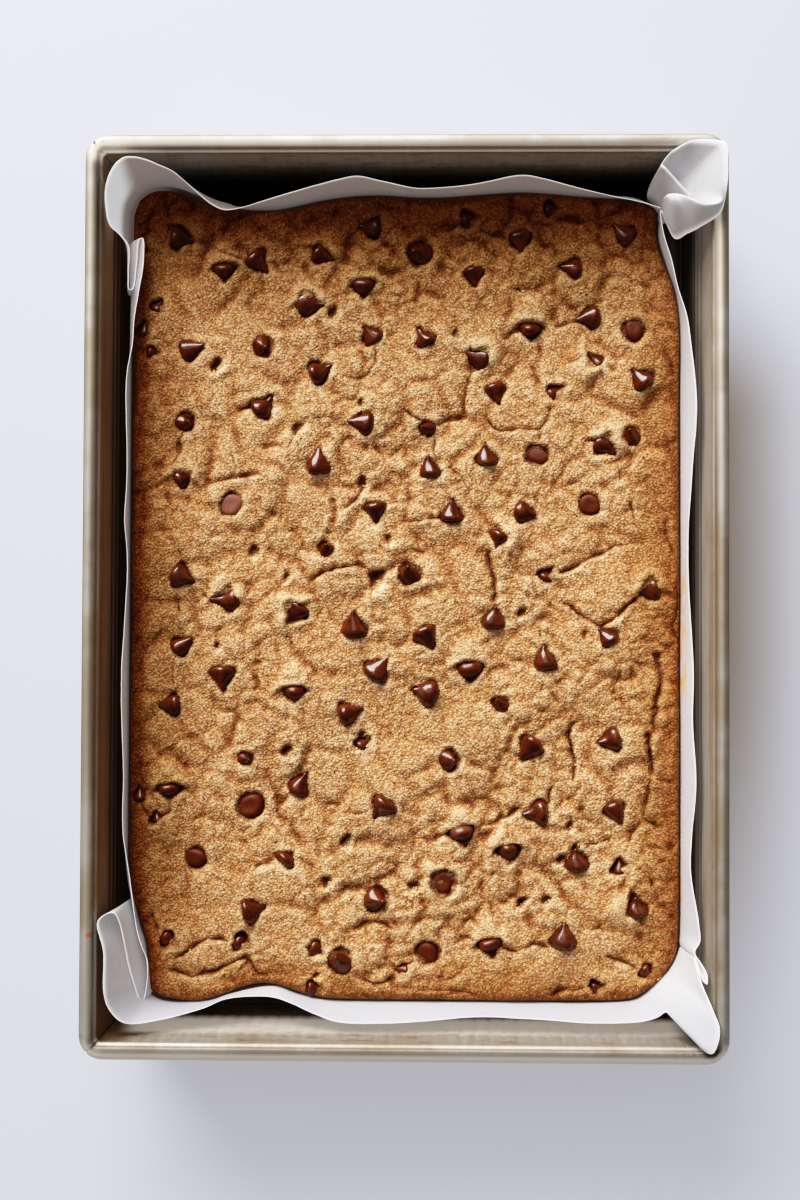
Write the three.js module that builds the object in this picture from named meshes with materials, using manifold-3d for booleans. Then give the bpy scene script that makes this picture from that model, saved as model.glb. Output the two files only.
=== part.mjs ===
// An uncut slab of chocolate chip cookie bar in its baking tin, lined with parchment.
// Millimetres, +Z up. The origin is on the table, under the middle of the tin.
// X runs across the tin and Y along it.
import * as THREE from 'three';
import { mergeVertices } from 'three/addons/utils/BufferGeometryUtils.js';
import Module from 'manifold-3d';

const wasm = await Module();
wasm.setup();

// Driving dimensions of the tin, a 9 by 13 inch size: its mouth is a little over that.
const mouthWidth = 229.8;
const mouthLength = 333.6;
const tinHeight = 57;
const wallDraft = THREE.MathUtils.degToRad(6);
const sheetThickness = 1;
const rimDiameter = 4.8;
const mouthCornerRadius = 6;
const baseCornerRadius = 4.5;
const floorFillet = 2.5;

// Driving dimensions of the slab, after it has shrunk a little from the walls.
const slabHalfWidth = 106.6;
const slabHalfLength = 155.6;
const slabCornerRadius = 13;
const slabCrown = 26.6;
const slabEdgeRadius = 5.5;
const slabGrid = 6.1;
const slabFootInset = 1;

// Driving dimensions of the parchment and the gap between pieces that touch.
const paperThickness = 0.5;
const contactGap = 0.32;
const paperSlack = 0.6;
const paperStations = 104;

// One chip: a drop with a flat round base and a short tip.
const chipRadius = 4.7;
const chipHeight = 8.4;
const chipSides = 7;

// What a joined mesh is tidied to: its shortest edge and its thinnest triangle.
const shortestEdge = 0.25;
const thinnestTriangle = 0.05;

// Levels that follow from the sizes above.
const floorTop = sheetThickness;
const paperBottom = floorTop + contactGap;
const paperTop = paperBottom + paperThickness;
const slabBottom = paperTop + contactGap;
const slabShoulder = slabCrown - slabEdgeRadius;

const colours = {
  tin: 0x9a9388,
  paper: 0xe9e7e6,
  crumb: 0xc28a4c,
};

// Half of the clear width and length between the tin's walls at a height.
function wallSetback(z) {
  return (tinHeight - z) * Math.tan(wallDraft);
}

// A level loop: a rectangle with rounded corners, anticlockwise from above.
function roundedLoop(halfWidth, halfLength, radius, z, cornerSteps) {
  const corners = [
    [1, 1, 0],
    [-1, 1, 1],
    [-1, -1, 2],
    [1, -1, 3],
  ];
  const loop = [];
  for (const [signX, signY, quarter] of corners) {
    const centreX = signX * (halfWidth - radius);
    const centreY = signY * (halfLength - radius);
    for (let step = 0; step <= cornerSteps; step++) {
      const angle = (quarter + step / cornerSteps) * Math.PI / 2;
      loop.push([centreX + radius * Math.cos(angle), centreY + radius * Math.sin(angle), z]);
    }
  }
  return loop;
}

// Joins loops of equal length, first to last, and closes both ends with flat fans
// round a middle point.
function skinLoops(loops) {
  const positions = loops.flat(2);
  const count = loops[0].length;
  const indices = [];
  for (let row = 0; row + 1 < loops.length; row++) {
    for (let i = 0; i < count; i++) {
      const next = (i + 1) % count;
      const a = row * count + i;
      const b = row * count + next;
      const c = a + count;
      const d = b + count;
      indices.push(a, b, d, a, d, c);
    }
  }
  const lastRow = loops.length - 1;
  const firstMiddle = loops.length * count;
  const lastMiddle = firstMiddle + 1;
  positions.push(0, 0, loops[0][0][2], 0, 0, loops[lastRow][0][2]);
  for (let i = 0; i < count; i++) {
    const next = (i + 1) % count;
    indices.push(firstMiddle, next, i);
    indices.push(lastMiddle, lastRow * count + i, lastRow * count + next);
  }
  return toGeometry(positions, indices);
}

function toGeometry(positions, indices) {
  const geometry = new THREE.BufferGeometry();
  geometry.setAttribute('position', new THREE.Float32BufferAttribute(positions, 3));
  geometry.setIndex(indices);
  return geometry;
}

function toSolid(geometry) {
  const bare = geometry.clone();
  bare.deleteAttribute('normal');
  bare.deleteAttribute('uv');
  const merged = mergeVertices(bare, 1e-4);
  return new wasm.Manifold(new wasm.Mesh({
    numProp: 3,
    vertProperties: new Float32Array(merged.attributes.position.array),
    triVerts: new Uint32Array(merged.index.array),
  }));
}

function fromSolid(solid) {
  const mesh = solid.getMesh();
  return toGeometry(Array.from(mesh.vertProperties), Array.from(mesh.triVerts));
}

// Tidies a closed mesh after its joins: draws the ends of very short edges together
// and turns needle-thin triangles onto their other diagonal.
function tidyMesh(geometry) {
  const merged = mergeVertices(geometry, 1e-4);
  const point = Array.from(
    { length: merged.attributes.position.count },
    (unused, i) => new THREE.Vector3().fromBufferAttribute(merged.attributes.position, i),
  );
  const faces = [];
  const facesAt = point.map(() => new Set());
  const addFace = (corners) => {
    faces.push(corners);
    for (const corner of corners) facesAt[corner].add(faces.length - 1);
  };
  const dropFace = (face) => {
    for (const corner of faces[face]) facesAt[corner].delete(face);
    faces[face] = null;
  };
  for (let i = 0; i < merged.index.count; i += 3) {
    addFace([merged.index.getX(i), merged.index.getX(i + 1), merged.index.getX(i + 2)]);
  }
  const normalOf = ([a, b, c]) => {
    const side = point[b].clone().sub(point[a]);
    return side.cross(point[c].clone().sub(point[a]));
  };
  const longestSide = (corners) => {
    let longest = 0;
    for (let i = 1; i < 3; i++) {
      const here = point[corners[i]].distanceTo(point[corners[(i + 1) % 3]]);
      const best = point[corners[longest]].distanceTo(point[corners[(longest + 1) % 3]]);
      if (here > best) longest = i;
    }
    return longest;
  };
  const heightOf = (corners) => {
    const side = longestSide(corners);
    const length = point[corners[side]].distanceTo(point[corners[(side + 1) % 3]]);
    return normalOf(corners).length() / Math.max(length, 1e-9);
  };
  const neighbours = (vertex) => new Set(
    [...facesAt[vertex]].flatMap((face) => faces[face]).filter((other) => other !== vertex),
  );
  const drawTogether = (kept, gone) => {
    const keptNeighbours = neighbours(kept);
    const shared = [...neighbours(gone)].filter((vertex) => keptNeighbours.has(vertex));
    if (shared.length !== 2) return false;
    const moved = [...facesAt[gone]].filter((face) => !faces[face].includes(kept));
    const changed = moved.map((face) => faces[face].map((corner) => (corner === gone ? kept : corner)));
    for (let i = 0; i < moved.length; i++) {
      const before = normalOf(faces[moved[i]]);
      const after = normalOf(changed[i]);
      const wasThin = heightOf(faces[moved[i]]) < thinnestTriangle;
      if (heightOf(changed[i]) < thinnestTriangle && !wasThin) return false;
      if (!wasThin && before.normalize().dot(after.normalize()) < 0.6) return false;
    }
    for (const face of [...facesAt[gone]]) dropFace(face);
    changed.forEach(addFace);
    return true;
  };
  const turnDiagonal = (face) => {
    const side = longestSide(faces[face]);
    const [a, b, c] = [0, 1, 2].map((step) => faces[face][(side + step) % 3]);
    const across = [...facesAt[a]].find((other) => other !== face && facesAt[b].has(other));
    const d = faces[across].find((corner) => corner !== a && corner !== b);
    if (neighbours(c).has(d)) return false;
    const turned = [[a, d, c], [d, b, c]];
    const worst = Math.min(heightOf(faces[face]), heightOf(faces[across]));
    const facing = normalOf(faces[across]).normalize();
    for (const corners of turned) {
      if (heightOf(corners) <= worst) return false;
      if (normalOf(corners).normalize().dot(facing) < 0.6) return false;
    }
    dropFace(face);
    dropFace(across);
    turned.forEach(addFace);
    return true;
  };
  for (let pass = 0; pass < 8; pass++) {
    for (let face = 0; face < faces.length; face++) {
      for (let side = 0; faces[face] && side < 3; side++) {
        const start = faces[face][side];
        const end = faces[face][(side + 1) % 3];
        if (point[start].distanceTo(point[end]) < shortestEdge) {
          if (!drawTogether(start, end)) drawTogether(end, start);
        }
      }
    }
    for (let face = 0; face < faces.length; face++) {
      if (faces[face] && heightOf(faces[face]) < thinnestTriangle) turnDiagonal(face);
    }
  }
  const kept = faces.filter((corners) => corners);
  return toGeometry(point.flatMap((place) => place.toArray()), kept.flat());
}

// The tin: floor, drafted walls and a rolled rim, as one run of loops from the
// underside, up the outside, over the rim and down the inside to the floor.
function makeTin() {
  const cornerSteps = 5;
  const wall = sheetThickness / Math.cos(wallDraft);
  const rimRadius = rimDiameter / 2;
  const rimCentre = tinHeight - rimRadius;
  const section = [];
  const ring = (outward, z) => section.push([outward, z]);
  ring(wall - wallSetback(0) - floorFillet, 0);
  ring(wall - wallSetback(0) - floorFillet * 0.3, floorFillet * 0.3);
  ring(wall - wallSetback(floorFillet), floorFillet);
  ring(wall - wallSetback(rimCentre - rimRadius * 0.8), rimCentre - rimRadius * 0.8);
  for (const degrees of [-80, -45, -10, 25, 60, 90, 125, 160]) {
    const angle = THREE.MathUtils.degToRad(degrees);
    ring(rimRadius + rimRadius * Math.cos(angle), rimCentre + rimRadius * Math.sin(angle));
  }
  ring(-wallSetback(rimCentre - rimRadius), rimCentre - rimRadius);
  ring(-wallSetback(floorTop + floorFillet), floorTop + floorFillet);
  ring(-wallSetback(floorTop) - floorFillet * 0.3, floorTop + floorFillet * 0.3);
  ring(-wallSetback(floorTop) - floorFillet, floorTop);
  const loops = section.map(([outward, z]) => {
    const rise = z / tinHeight;
    const cornerRadius = baseCornerRadius + (mouthCornerRadius - baseCornerRadius) * rise;
    const radius = Math.max(cornerRadius + Math.max(outward, -floorFillet), 2);
    return roundedLoop(mouthWidth / 2 + outward, mouthLength / 2 + outward, radius, z, cornerSteps);
  });
  return skinLoops(loops);
}

// Where the paper presses into the slab's edge, or the edge swells past its line:
// centre, push and reach. The whole plan of slab and paper is warped by these.
const presses = [
  { at: [106, 144], push: [-8.5, -1.5], reach: 20 },
  { at: [-67, 155], push: [0, -6], reach: 15 },
  { at: [-93, 156], push: [0, 2], reach: 12 },
  { at: [-106, -143], push: [8, 2], reach: 21 },
  { at: [-54, -155], push: [0, 6], reach: 15 },
  { at: [-84, -155], push: [0, -1.5], reach: 14 },
  { at: [106, -155], push: [-4, 4], reach: 12 },
];

function warp(x, y) {
  let warpedX = x;
  let warpedY = y;
  for (const { at, push, reach } of presses) {
    const distance = Math.hypot(x - at[0], y - at[1]);
    const weight = Math.exp(-((distance / reach) ** 2));
    warpedX += push[0] * weight;
    warpedY += push[1] * weight;
  }
  return [warpedX, warpedY];
}

// Soft lumps of dough over the slab's top, in waves too long to be called texture.
function doughLumps(x, y) {
  const broad = 0.55 * Math.sin(x / 17 + 1.1) * Math.cos(y / 14 - 0.6);
  const slant = 0.45 * Math.sin((x + 0.8 * y) / 10.5 + 2.2);
  const counter = 0.4 * Math.sin((0.7 * x - y) / 8.3 - 0.9);
  const dish = 1.3 * (1 - (x / slabHalfWidth) ** 2) * (1 - (y / slabHalfLength) ** 2);
  return broad + slant + counter - dish;
}

// Height of the slab's top at a plan point, before its edge rounds over.
function slabTop(x, y) {
  return slabCrown + doughLumps(x, y);
}

// Plan lines across one half size: close together by the edge, even in the middle.
function planLines(half) {
  const edgeInsets = [0, slabEdgeRadius * 0.3, slabEdgeRadius];
  const inner = half - slabEdgeRadius;
  const cells = Math.round(2 * inner / slabGrid);
  const lines = edgeInsets.slice(0, 2).map((inset) => -half + inset);
  for (let i = 0; i <= cells; i++) lines.push(-inner + 2 * inner * i / cells);
  lines.push(...edgeInsets.slice(0, 2).reverse().map((inset) => half - inset));
  return lines;
}

// Bends the square corner of the plan grid onto a round one.
function roundPlan(x, y) {
  const a = (Math.abs(x) - (slabHalfWidth - slabCornerRadius)) / slabCornerRadius;
  const b = (Math.abs(y) - (slabHalfLength - slabCornerRadius)) / slabCornerRadius;
  if (a <= 0 || b <= 0) return [x, y];
  const roundA = a * Math.sqrt(1 - b * b / 2);
  const roundB = b * Math.sqrt(1 - a * a / 2);
  return [
    Math.sign(x) * (slabHalfWidth - slabCornerRadius + roundA * slabCornerRadius),
    Math.sign(y) * (slabHalfLength - slabCornerRadius + roundB * slabCornerRadius),
  ];
}

// The bare slab: a lumpy top with a rounded edge, sides that draw in to the foot
// and a flat underside.
function makeSlabBody() {
  const linesX = planLines(slabHalfWidth);
  const linesY = planLines(slabHalfLength);
  const columns = linesX.length;
  const rows = linesY.length;
  const positions = [];
  const indices = [];
  const at = (i, j) => j * columns + i;
  for (const y of linesY) {
    for (const x of linesX) {
      const inset = Math.min(slabHalfWidth - Math.abs(x), slabHalfLength - Math.abs(y), slabEdgeRadius);
      const fall = slabEdgeRadius - Math.sqrt(slabEdgeRadius ** 2 - (slabEdgeRadius - inset) ** 2);
      const plan = roundPlan(x, y);
      positions.push(...warp(...plan), slabTop(...plan) - fall);
    }
  }
  for (let j = 0; j + 1 < rows; j++) {
    for (let i = 0; i + 1 < columns; i++) {
      indices.push(at(i, j), at(i + 1, j), at(i + 1, j + 1));
      indices.push(at(i, j), at(i + 1, j + 1), at(i, j + 1));
    }
  }
  const rim = [];
  for (let i = 0; i < columns; i++) rim.push(at(i, 0));
  for (let j = 1; j < rows; j++) rim.push(at(columns - 1, j));
  for (let i = columns - 2; i >= 0; i--) rim.push(at(i, rows - 1));
  for (let j = rows - 2; j > 0; j--) rim.push(at(0, j));
  const sideLevels = [
    { z: slabBottom + 2, inset: slabFootInset * 0.6 },
    { z: slabBottom, inset: slabFootInset + 1 },
  ];
  let upper = rim;
  for (const { z, inset } of sideLevels) {
    const lower = rim.map((vertex) => {
      const x = positions[3 * vertex];
      const y = positions[3 * vertex + 1];
      positions.push(x * (1 - inset / slabHalfWidth), y * (1 - inset / slabHalfLength), z);
      return positions.length / 3 - 1;
    });
    for (let i = 0; i < rim.length; i++) {
      const next = (i + 1) % rim.length;
      indices.push(upper[i], lower[i], lower[next], upper[i], lower[next], upper[next]);
    }
    upper = lower;
  }
  const footMiddle = positions.length / 3;
  positions.push(0, 0, slabBottom);
  for (let i = 0; i < upper.length; i++) {
    indices.push(footMiddle, upper[(i + 1) % upper.length], upper[i]);
  }
  return toGeometry(positions, indices);
}

// Chips, each as across, along, the way its tip points in degrees from +X, and size.
// These lie on their sides.
const lyingChips = [
  [-88, 140, -10, 1.1], [-58, 131, -50, 1], [-14, 144, 175, 1], [-33, 133, -15, 0.95], [-38, 113, 0, 1.15],
  [-84, 96, 20, 1.05], [-14, 102, 130, 0.9], [-34, 88, 25, 1.1], [-56, 74, 50, 1.1], [-34, 52, 90, 1.05],
  [44, 139, -90, 1], [26, 125, -85, 0.95], [64, 128, 175, 0.95], [84, 141, 140, 0.95], [71, 109, 190, 1],
  [7, 101, 120, 0.95], [90, 85, -50, 1], [35, 80, -80, 0.95], [77, 58, -35, 1.05], [31, 55, 95, 1],
  [9, 50, 100, 0.95], [-87, 46, 30, 0.8], [-12, 34, -85, 0.95], [-87, 8, -25, 1.05], [-70, -2, 180, 1.1],
  [-44, -7, 230, 1.05], [-20, -11, 90, 1.1], [-87, -19, 35, 0.9], [-71, -31, -85, 1.1], [-11, -28, 45, 1.1],
  [-22, -45, 20, 1], [-91, -42, 180, 0.9], [18, 33, 90, 1], [46, 33, -10, 0.95], [94, 2, 190, 1],
  [34, -8, 85, 0.95], [8, -15, -60, 1.05], [78, -15, 135, 0.9], [54, -24, 95, 1], [8, -37, 165, 1.1],
  [79, -55, 190, 1.05], [48, -58, 235, 1.1], [-41, -73, 60, 0.95], [-9, -81, 235, 1.05], [-59, -121, 15, 1.05],
  [51, -83, 185, 1.05], [81, -82, -65, 0.95], [66, -101, 95, 1.05], [89, -119, 100, 0.95], [61, -131, 85, 1.1],
  [73, 92, 130, 0.7], [36, 23, 250, 0.8],
];
// These stand on their tips, leaning, with the round base showing as a half moon.
const cuppedChips = [
  [-71, 127, -90, 1], [-17, 121, -90, 1], [-17, 68, -60, 1.05], [48, 104, -90, 1], [28, 92, -80, 0.9],
  [-43, -39, -90, 0.95], [25, -28, -88, 1.1], [-91, -75, -90, 1], [22, -91, -75, 1.1], [40, -98, -80, 1],
  [33, -134, -80, 1], [-46, -101, 45, 0.9],
];
// These show their flat bases, level with the dough.
const discChips = [
  [88, 104, 0, 0.95], [51, 55, 0, 1], [71, 36, 0, 1], [-60, -82, 0, 1.05], [15, -110, 0, 1.08],
  [9, -137, 0, 1], [-81, -101, 0, 0.95], [-68, 36, 0, 0.95],
];
// These stand tip up.
const uprightChips = [
  [-56, 98, -35, 0.95], [5, 134, 170, 1.1], [8, 66, 180, 0.7], [87, 63, 120, 0.85], [-31, 19, 90, 0.7],
  [1, 9, 95, 1.05], [-62, -63, 0, 0.65], [37, -41, 150, 0.8], [17, -63, 0, 0.9], [-11, -117, 0, 1.1],
  [-25, -140, 110, 1.05], [-86, 68, 0, 0.8],
];

// How each kind sits: how far its tip rises from level, and how far the chip's
// middle lies above the dough, in chip radii.
const chipKinds = [
  { chips: lyingChips, rise: 14, lift: -0.2 },
  { chips: cuppedChips, rise: -42, lift: -0.12 },
  { chips: discChips, rise: -84, lift: -0.72 },
  { chips: uprightChips, rise: 62, lift: -0.25 },
];

function makeChip() {
  const profile = [
    [0, 0],
    [chipRadius * 0.88, 0],
    [chipRadius, chipHeight * 0.22],
    [chipRadius * 0.58, chipHeight * 0.6],
    [0, chipHeight],
  ].map(([radius, height]) => new THREE.Vector2(radius, height));
  const chip = new THREE.LatheGeometry(profile, chipSides);
  chip.rotateX(Math.PI / 2);
  chip.translate(0, 0, -chipHeight * 0.38);
  return chip;
}

// Each chip turns its tip from +Z to its heading and rise, and sinks into the dough.
function placeChip(x, y, heading, size, rise, lift) {
  const chip = makeChip();
  const turn = THREE.MathUtils.degToRad(heading);
  const climb = THREE.MathUtils.degToRad(rise);
  const tip = new THREE.Vector3(
    Math.cos(turn) * Math.cos(climb),
    Math.sin(turn) * Math.cos(climb),
    Math.sin(climb),
  );
  chip.scale(size, size, size);
  chip.applyQuaternion(new THREE.Quaternion().setFromUnitVectors(new THREE.Vector3(0, 0, 1), tip));
  chip.translate(x, y, slabTop(x, y) + lift * chipRadius * size);
  return chip;
}

function makeCookieBar() {
  let solid = toSolid(makeSlabBody());
  for (const { chips, rise, lift } of chipKinds) {
    for (const [x, y, heading, size] of chips) {
      solid = solid.add(toSolid(placeChip(x, y, heading, size, rise, lift)));
    }
  }
  return tidyMesh(fromSolid(solid));
}

// The parchment's cut edge, clockwise from the top side's left end: it waves along
// the sides and flares into a lobe at each corner, over the rim at two of them.
const paperEdge = [
  [-65.8, 149.3, 34], [-52, 153.1, 35], [-35, 157.3, 38], [-18.6, 160.2, 40], [3.9, 157, 36],
  [26, 157.9, 37], [43.9, 160.7, 39], [66, 157.4, 35], [79, 155.4, 33], [90, 153.5, 36],
  [94, 158.5, 44], [98.5, 163.2, 54], [105.6, 166, 63], [114, 165, 68], [117, 156, 69],
  [116.5, 146.5, 66], [111.5, 139, 54], [106.5, 130, 40], [105.2, 119, 36], [107.6, 107, 38],
  [109.3, 79, 42], [108.6, 48, 39], [107.8, 16, 37], [108.8, -29, 39], [109.4, -70, 41],
  [108.2, -97, 38], [109.6, -120, 42], [108.7, -133, 43], [110.6, -143.3, 51], [113.4, -151.2, 59],
  [115.2, -157.5, 63], [113, -164.2, 64], [106.4, -162.2, 55], [98.4, -158, 44], [88.6, -159.3, 41],
  [70, -159.9, 41], [53.5, -159.1, 40], [27, -158.4, 39], [6, -160.1, 40], [-24.7, -160.2, 40],
  [-42, -154.8, 36], [-53, -150.8, 33], [-67.7, -154.3, 35], [-82, -158.3, 40], [-95, -160.6, 44],
  [-105.5, -158.6, 48], [-110.2, -151, 51], [-111, -138, 53], [-111.8, -126, 54], [-109, -117.5, 48],
  [-107, -106, 39], [-107.4, -88.7, 38], [-107.6, -68, 38], [-108.2, -34, 40], [-107.6, 12.5, 36],
  [-107.9, 29.6, 38], [-107.6, 48, 38], [-107.8, 83.6, 38], [-107.6, 100, 36], [-107.8, 118, 38],
  [-108.6, 130, 42], [-110.4, 139, 45], [-112, 147, 48], [-112, 154, 51], [-108.6, 160.6, 54],
  [-102.5, 163, 55], [-95, 162, 53], [-86, 159.2, 47], [-75.2, 152.4, 39],
].map((point) => new THREE.Vector3(...point));

// The nearest point of the slab's outline, grown by a margin, to a plan point.
function nearestOnSlab(x, y, margin) {
  const outline = roundedLoop(slabHalfWidth + margin, slabHalfLength + margin, slabCornerRadius + margin, 0, 12);
  let best = outline[0];
  let bestDistance = Infinity;
  for (let i = 0; i < outline.length; i++) {
    const start = outline[i];
    const end = outline[(i + 1) % outline.length];
    const edgeX = end[0] - start[0];
    const edgeY = end[1] - start[1];
    const along = ((x - start[0]) * edgeX + (y - start[1]) * edgeY) / (edgeX ** 2 + edgeY ** 2);
    const share = THREE.MathUtils.clamp(along, 0, 1);
    const point = [start[0] + share * edgeX, start[1] + share * edgeY];
    const distance = Math.hypot(point[0] - x, point[1] - y);
    if (distance < bestDistance) {
      best = point;
      bestDistance = distance;
    }
  }
  return best;
}

// The parchment: one closed thin sheet that lines the floor, follows the slab's
// side and leans out to its edge.
function makeParchment() {
  const edge = new THREE.CatmullRomCurve3(paperEdge.slice().reverse(), true, 'centripetal');
  const margin = contactGap + paperThickness / 2 + paperSlack;
  const middleLevel = paperBottom + paperThickness / 2;
  const stations = [];
  for (let i = 0; i < paperStations; i++) {
    const top = edge.getPointAt(i / paperStations);
    const plain = nearestOnSlab(top.x, top.y, margin);
    stations.push({ top, foot: warp(...plain) });
  }
  const climb = [0.4, 0.7, 1];
  const turnedIn = (foot, inset) => [
    foot[0] * (1 - inset / slabHalfWidth),
    foot[1] * (1 - inset / slabHalfLength),
  ];
  const rows = [
    stations.map(({ foot }) => [...turnedIn(foot, slabFootInset + 1.4), middleLevel]),
    stations.map(({ foot }) => [...turnedIn(foot, slabFootInset * 0.5), middleLevel + 2]),
    stations.map(({ foot }) => [...foot, slabShoulder]),
  ];
  for (const share of climb) {
    rows.push(stations.map(({ top, foot }) => {
      const lean = share ** 1.6;
      return [
        foot[0] + (top.x - foot[0]) * lean,
        foot[1] + (top.y - foot[1]) * lean,
        slabShoulder + (top.z - slabShoulder) * share,
      ];
    }));
  }
  const offsetRows = (side) => rows.map((row, rowIndex) => row.map((point, i) => {
    if (rowIndex === 0) return [point[0], point[1], point[2] - side * paperThickness / 2];
    const ahead = new THREE.Vector3(...row[(i + 1) % row.length]);
    const behind = new THREE.Vector3(...row[(i + row.length - 1) % row.length]);
    const above = new THREE.Vector3(...rows[Math.min(rowIndex + 1, rows.length - 1)][i]);
    const below = new THREE.Vector3(...rows[rowIndex - 1][i]);
    const normal = ahead.sub(behind).cross(above.sub(below)).normalize();
    return new THREE.Vector3(...point).addScaledVector(normal, side * paperThickness / 2).toArray();
  }));
  const outer = offsetRows(1);
  const inner = offsetRows(-1).reverse();
  return skinLoops([...outer, ...inner]);
}

function addPiece(group, name, geometry, colour, roughness, metalness) {
  const material = new THREE.MeshStandardMaterial({ color: colour, roughness, metalness });
  const mesh = new THREE.Mesh(geometry, material);
  mesh.name = name;
  group.add(mesh);
}

const group = new THREE.Group();
addPiece(group, 'baking_tin', makeTin(), colours.tin, 0.42, 0.85);
addPiece(group, 'parchment_liner', makeParchment(), colours.paper, 0.75, 0);
addPiece(group, 'cookie_bar', makeCookieBar(), colours.crumb, 0.9, 0);

export default group;
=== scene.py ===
# The looks of an uncut chocolate chip cookie bar in its parchment-lined baking tin.
# X runs across the tin, Y along it and Z up. The origin is under the tin's middle.
# Shapes are worked out in millimetres and turned into metres as a mesh is made.
import math

import bpy
import numpy as np
from mathutils import Matrix, Vector


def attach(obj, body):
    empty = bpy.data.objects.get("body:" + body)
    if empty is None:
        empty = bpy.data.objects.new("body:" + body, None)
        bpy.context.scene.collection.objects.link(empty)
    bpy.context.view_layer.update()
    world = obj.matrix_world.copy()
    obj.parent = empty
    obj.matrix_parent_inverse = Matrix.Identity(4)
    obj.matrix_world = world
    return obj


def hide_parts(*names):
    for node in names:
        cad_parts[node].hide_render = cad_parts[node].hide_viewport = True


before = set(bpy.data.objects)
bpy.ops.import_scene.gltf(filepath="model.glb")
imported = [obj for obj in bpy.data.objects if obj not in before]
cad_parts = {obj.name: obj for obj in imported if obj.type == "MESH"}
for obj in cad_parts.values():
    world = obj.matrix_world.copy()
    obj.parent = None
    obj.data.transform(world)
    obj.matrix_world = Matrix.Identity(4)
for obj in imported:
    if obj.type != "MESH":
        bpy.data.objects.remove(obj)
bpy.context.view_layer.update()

MM = 0.001

# The tin, a 9 by 13 inch size whose mouth is a little over that.
MOUTH_WIDTH = 229.8
MOUTH_LENGTH = 333.6
TIN_HEIGHT = 57
WALL_DRAFT = math.radians(6)
SHEET_THICKNESS = 1
RIM_DIAMETER = 4.8
FLOOR_FILLET = 2.5
# The folded corner is almost sharp inside, and its radius grows across the rim.
INNER_CORNER = 2
CORNER_GROWTH = 1.45

# The slab as it would be without the paper's pressing, and the spacing of its mesh.
SLAB_HALF_WIDTH = 106.6
SLAB_HALF_LENGTH = 155.6
SLAB_CORNER = 9
SLAB_CROWN = 26.6
SLAB_EDGE = 4
SLAB_BOTTOM = 2.14
SLAB_SHOULDER = SLAB_CROWN - SLAB_EDGE
SLAB_GRID = 0.88
SLAB_SHIFT = -0.7

# One chip, a drop with a flat round base and a short tip.
CHIP_RADIUS = 4.8
CHIP_HEIGHT = 9
CHIP_MIDDLE = 0.38

# The parchment, thinner than its solid.
PAPER_THICKNESS = 0.26
PAPER_FLOOR = 1.55
PAPER_ROWS = 16


# Numbers that look scattered but are the same every time.

def mix(first, second, share):
    return first + (second - first) * share


def smooth(share):
    share = np.clip(share, 0, 1)
    return share * share * (3 - 2 * share)


def bell(distance, width):
    """1 where the distance is none, falling away on both sides."""
    return np.exp(-(distance / width) ** 2)


def cell_number(across, along, seed):
    """A fixed number from 0 to 1 for each whole-numbered cell of a plan grid."""
    mixed = (across * 374761393 + along * 668265263 + seed * 1442695041) & 0xFFFFFFFF
    mixed = ((mixed ^ (mixed >> 13)) * 1274126177) & 0xFFFFFFFF
    return ((mixed ^ (mixed >> 16)) & 0xFFFFFF) / 0x1000000


def rolling(x, y, size, seed):
    """Smooth swells from -1 to 1, about one size apart."""
    across = np.floor(x / size).astype(np.int64)
    along = np.floor(y / size).astype(np.int64)
    share_x = smooth(x / size - across)
    share_y = smooth(y / size - along)
    near = mix(cell_number(across, along, seed), cell_number(across + 1, along, seed), share_x)
    far = mix(cell_number(across, along + 1, seed), cell_number(across + 1, along + 1, seed), share_x)
    return 2 * mix(near, far, share_y) - 1


def layered(x, y, size, seed, layers=3):
    """Swells with finer swells on them, each layer turned so that no grid shows."""
    total = 0
    reach = 0
    for layer in range(layers):
        turn = 0.9 + 1.7 * layer
        turned_x = x * math.cos(turn) - y * math.sin(turn)
        turned_y = x * math.sin(turn) + y * math.cos(turn)
        weight = 0.5 ** layer
        total = total + weight * rolling(turned_x, turned_y, size * weight, seed + layer)
        reach += weight
    return total / reach


def nearest_cells(x, y, size, seed):
    """How far the nearest and the second nearest of scattered points lie, in sizes."""
    across = np.floor(x / size).astype(np.int64)
    along = np.floor(y / size).astype(np.int64)
    first = np.full(np.shape(x), np.inf)
    second = np.full(np.shape(x), np.inf)
    for step_x in (-1, 0, 1):
        for step_y in (-1, 0, 1):
            cell_x = across + step_x
            cell_y = along + step_y
            point_x = cell_x + cell_number(cell_x, cell_y, seed)
            point_y = cell_y + cell_number(cell_x, cell_y, seed + 1)
            distance = np.hypot(x / size - point_x, y / size - point_y)
            closer = distance < first
            second = np.where(closer, first, np.minimum(second, distance))
            first = np.where(closer, distance, first)
    return first, second


def domes(x, y, size, seed, valley):
    """Rounded lumps about one size apart, 1 on their crowns and 0 in the lines between."""
    sway_x = 0.25 * size * rolling(x, y, 0.8 * size, seed + 5)
    sway_y = 0.25 * size * rolling(y, x, 0.8 * size, seed + 6)
    first, second = nearest_cells(x + sway_x, y + sway_y, size, seed)
    return smooth((second - first) / valley)


def blurred(field, reach):
    """The mean of a grid's values over a square of neighbours, taken twice."""
    for _ in range(2):
        for axis in (0, 1):
            width = [(0, 0), (0, 0)]
            width[axis] = (reach, reach)
            padded = np.pad(field, width, mode="edge")
            shifted = [np.take(padded, range(step, step + field.shape[axis]), axis)
                       for step in range(2 * reach + 1)]
            field = sum(shifted) / len(shifted)
    return field


# Meshes.

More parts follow.
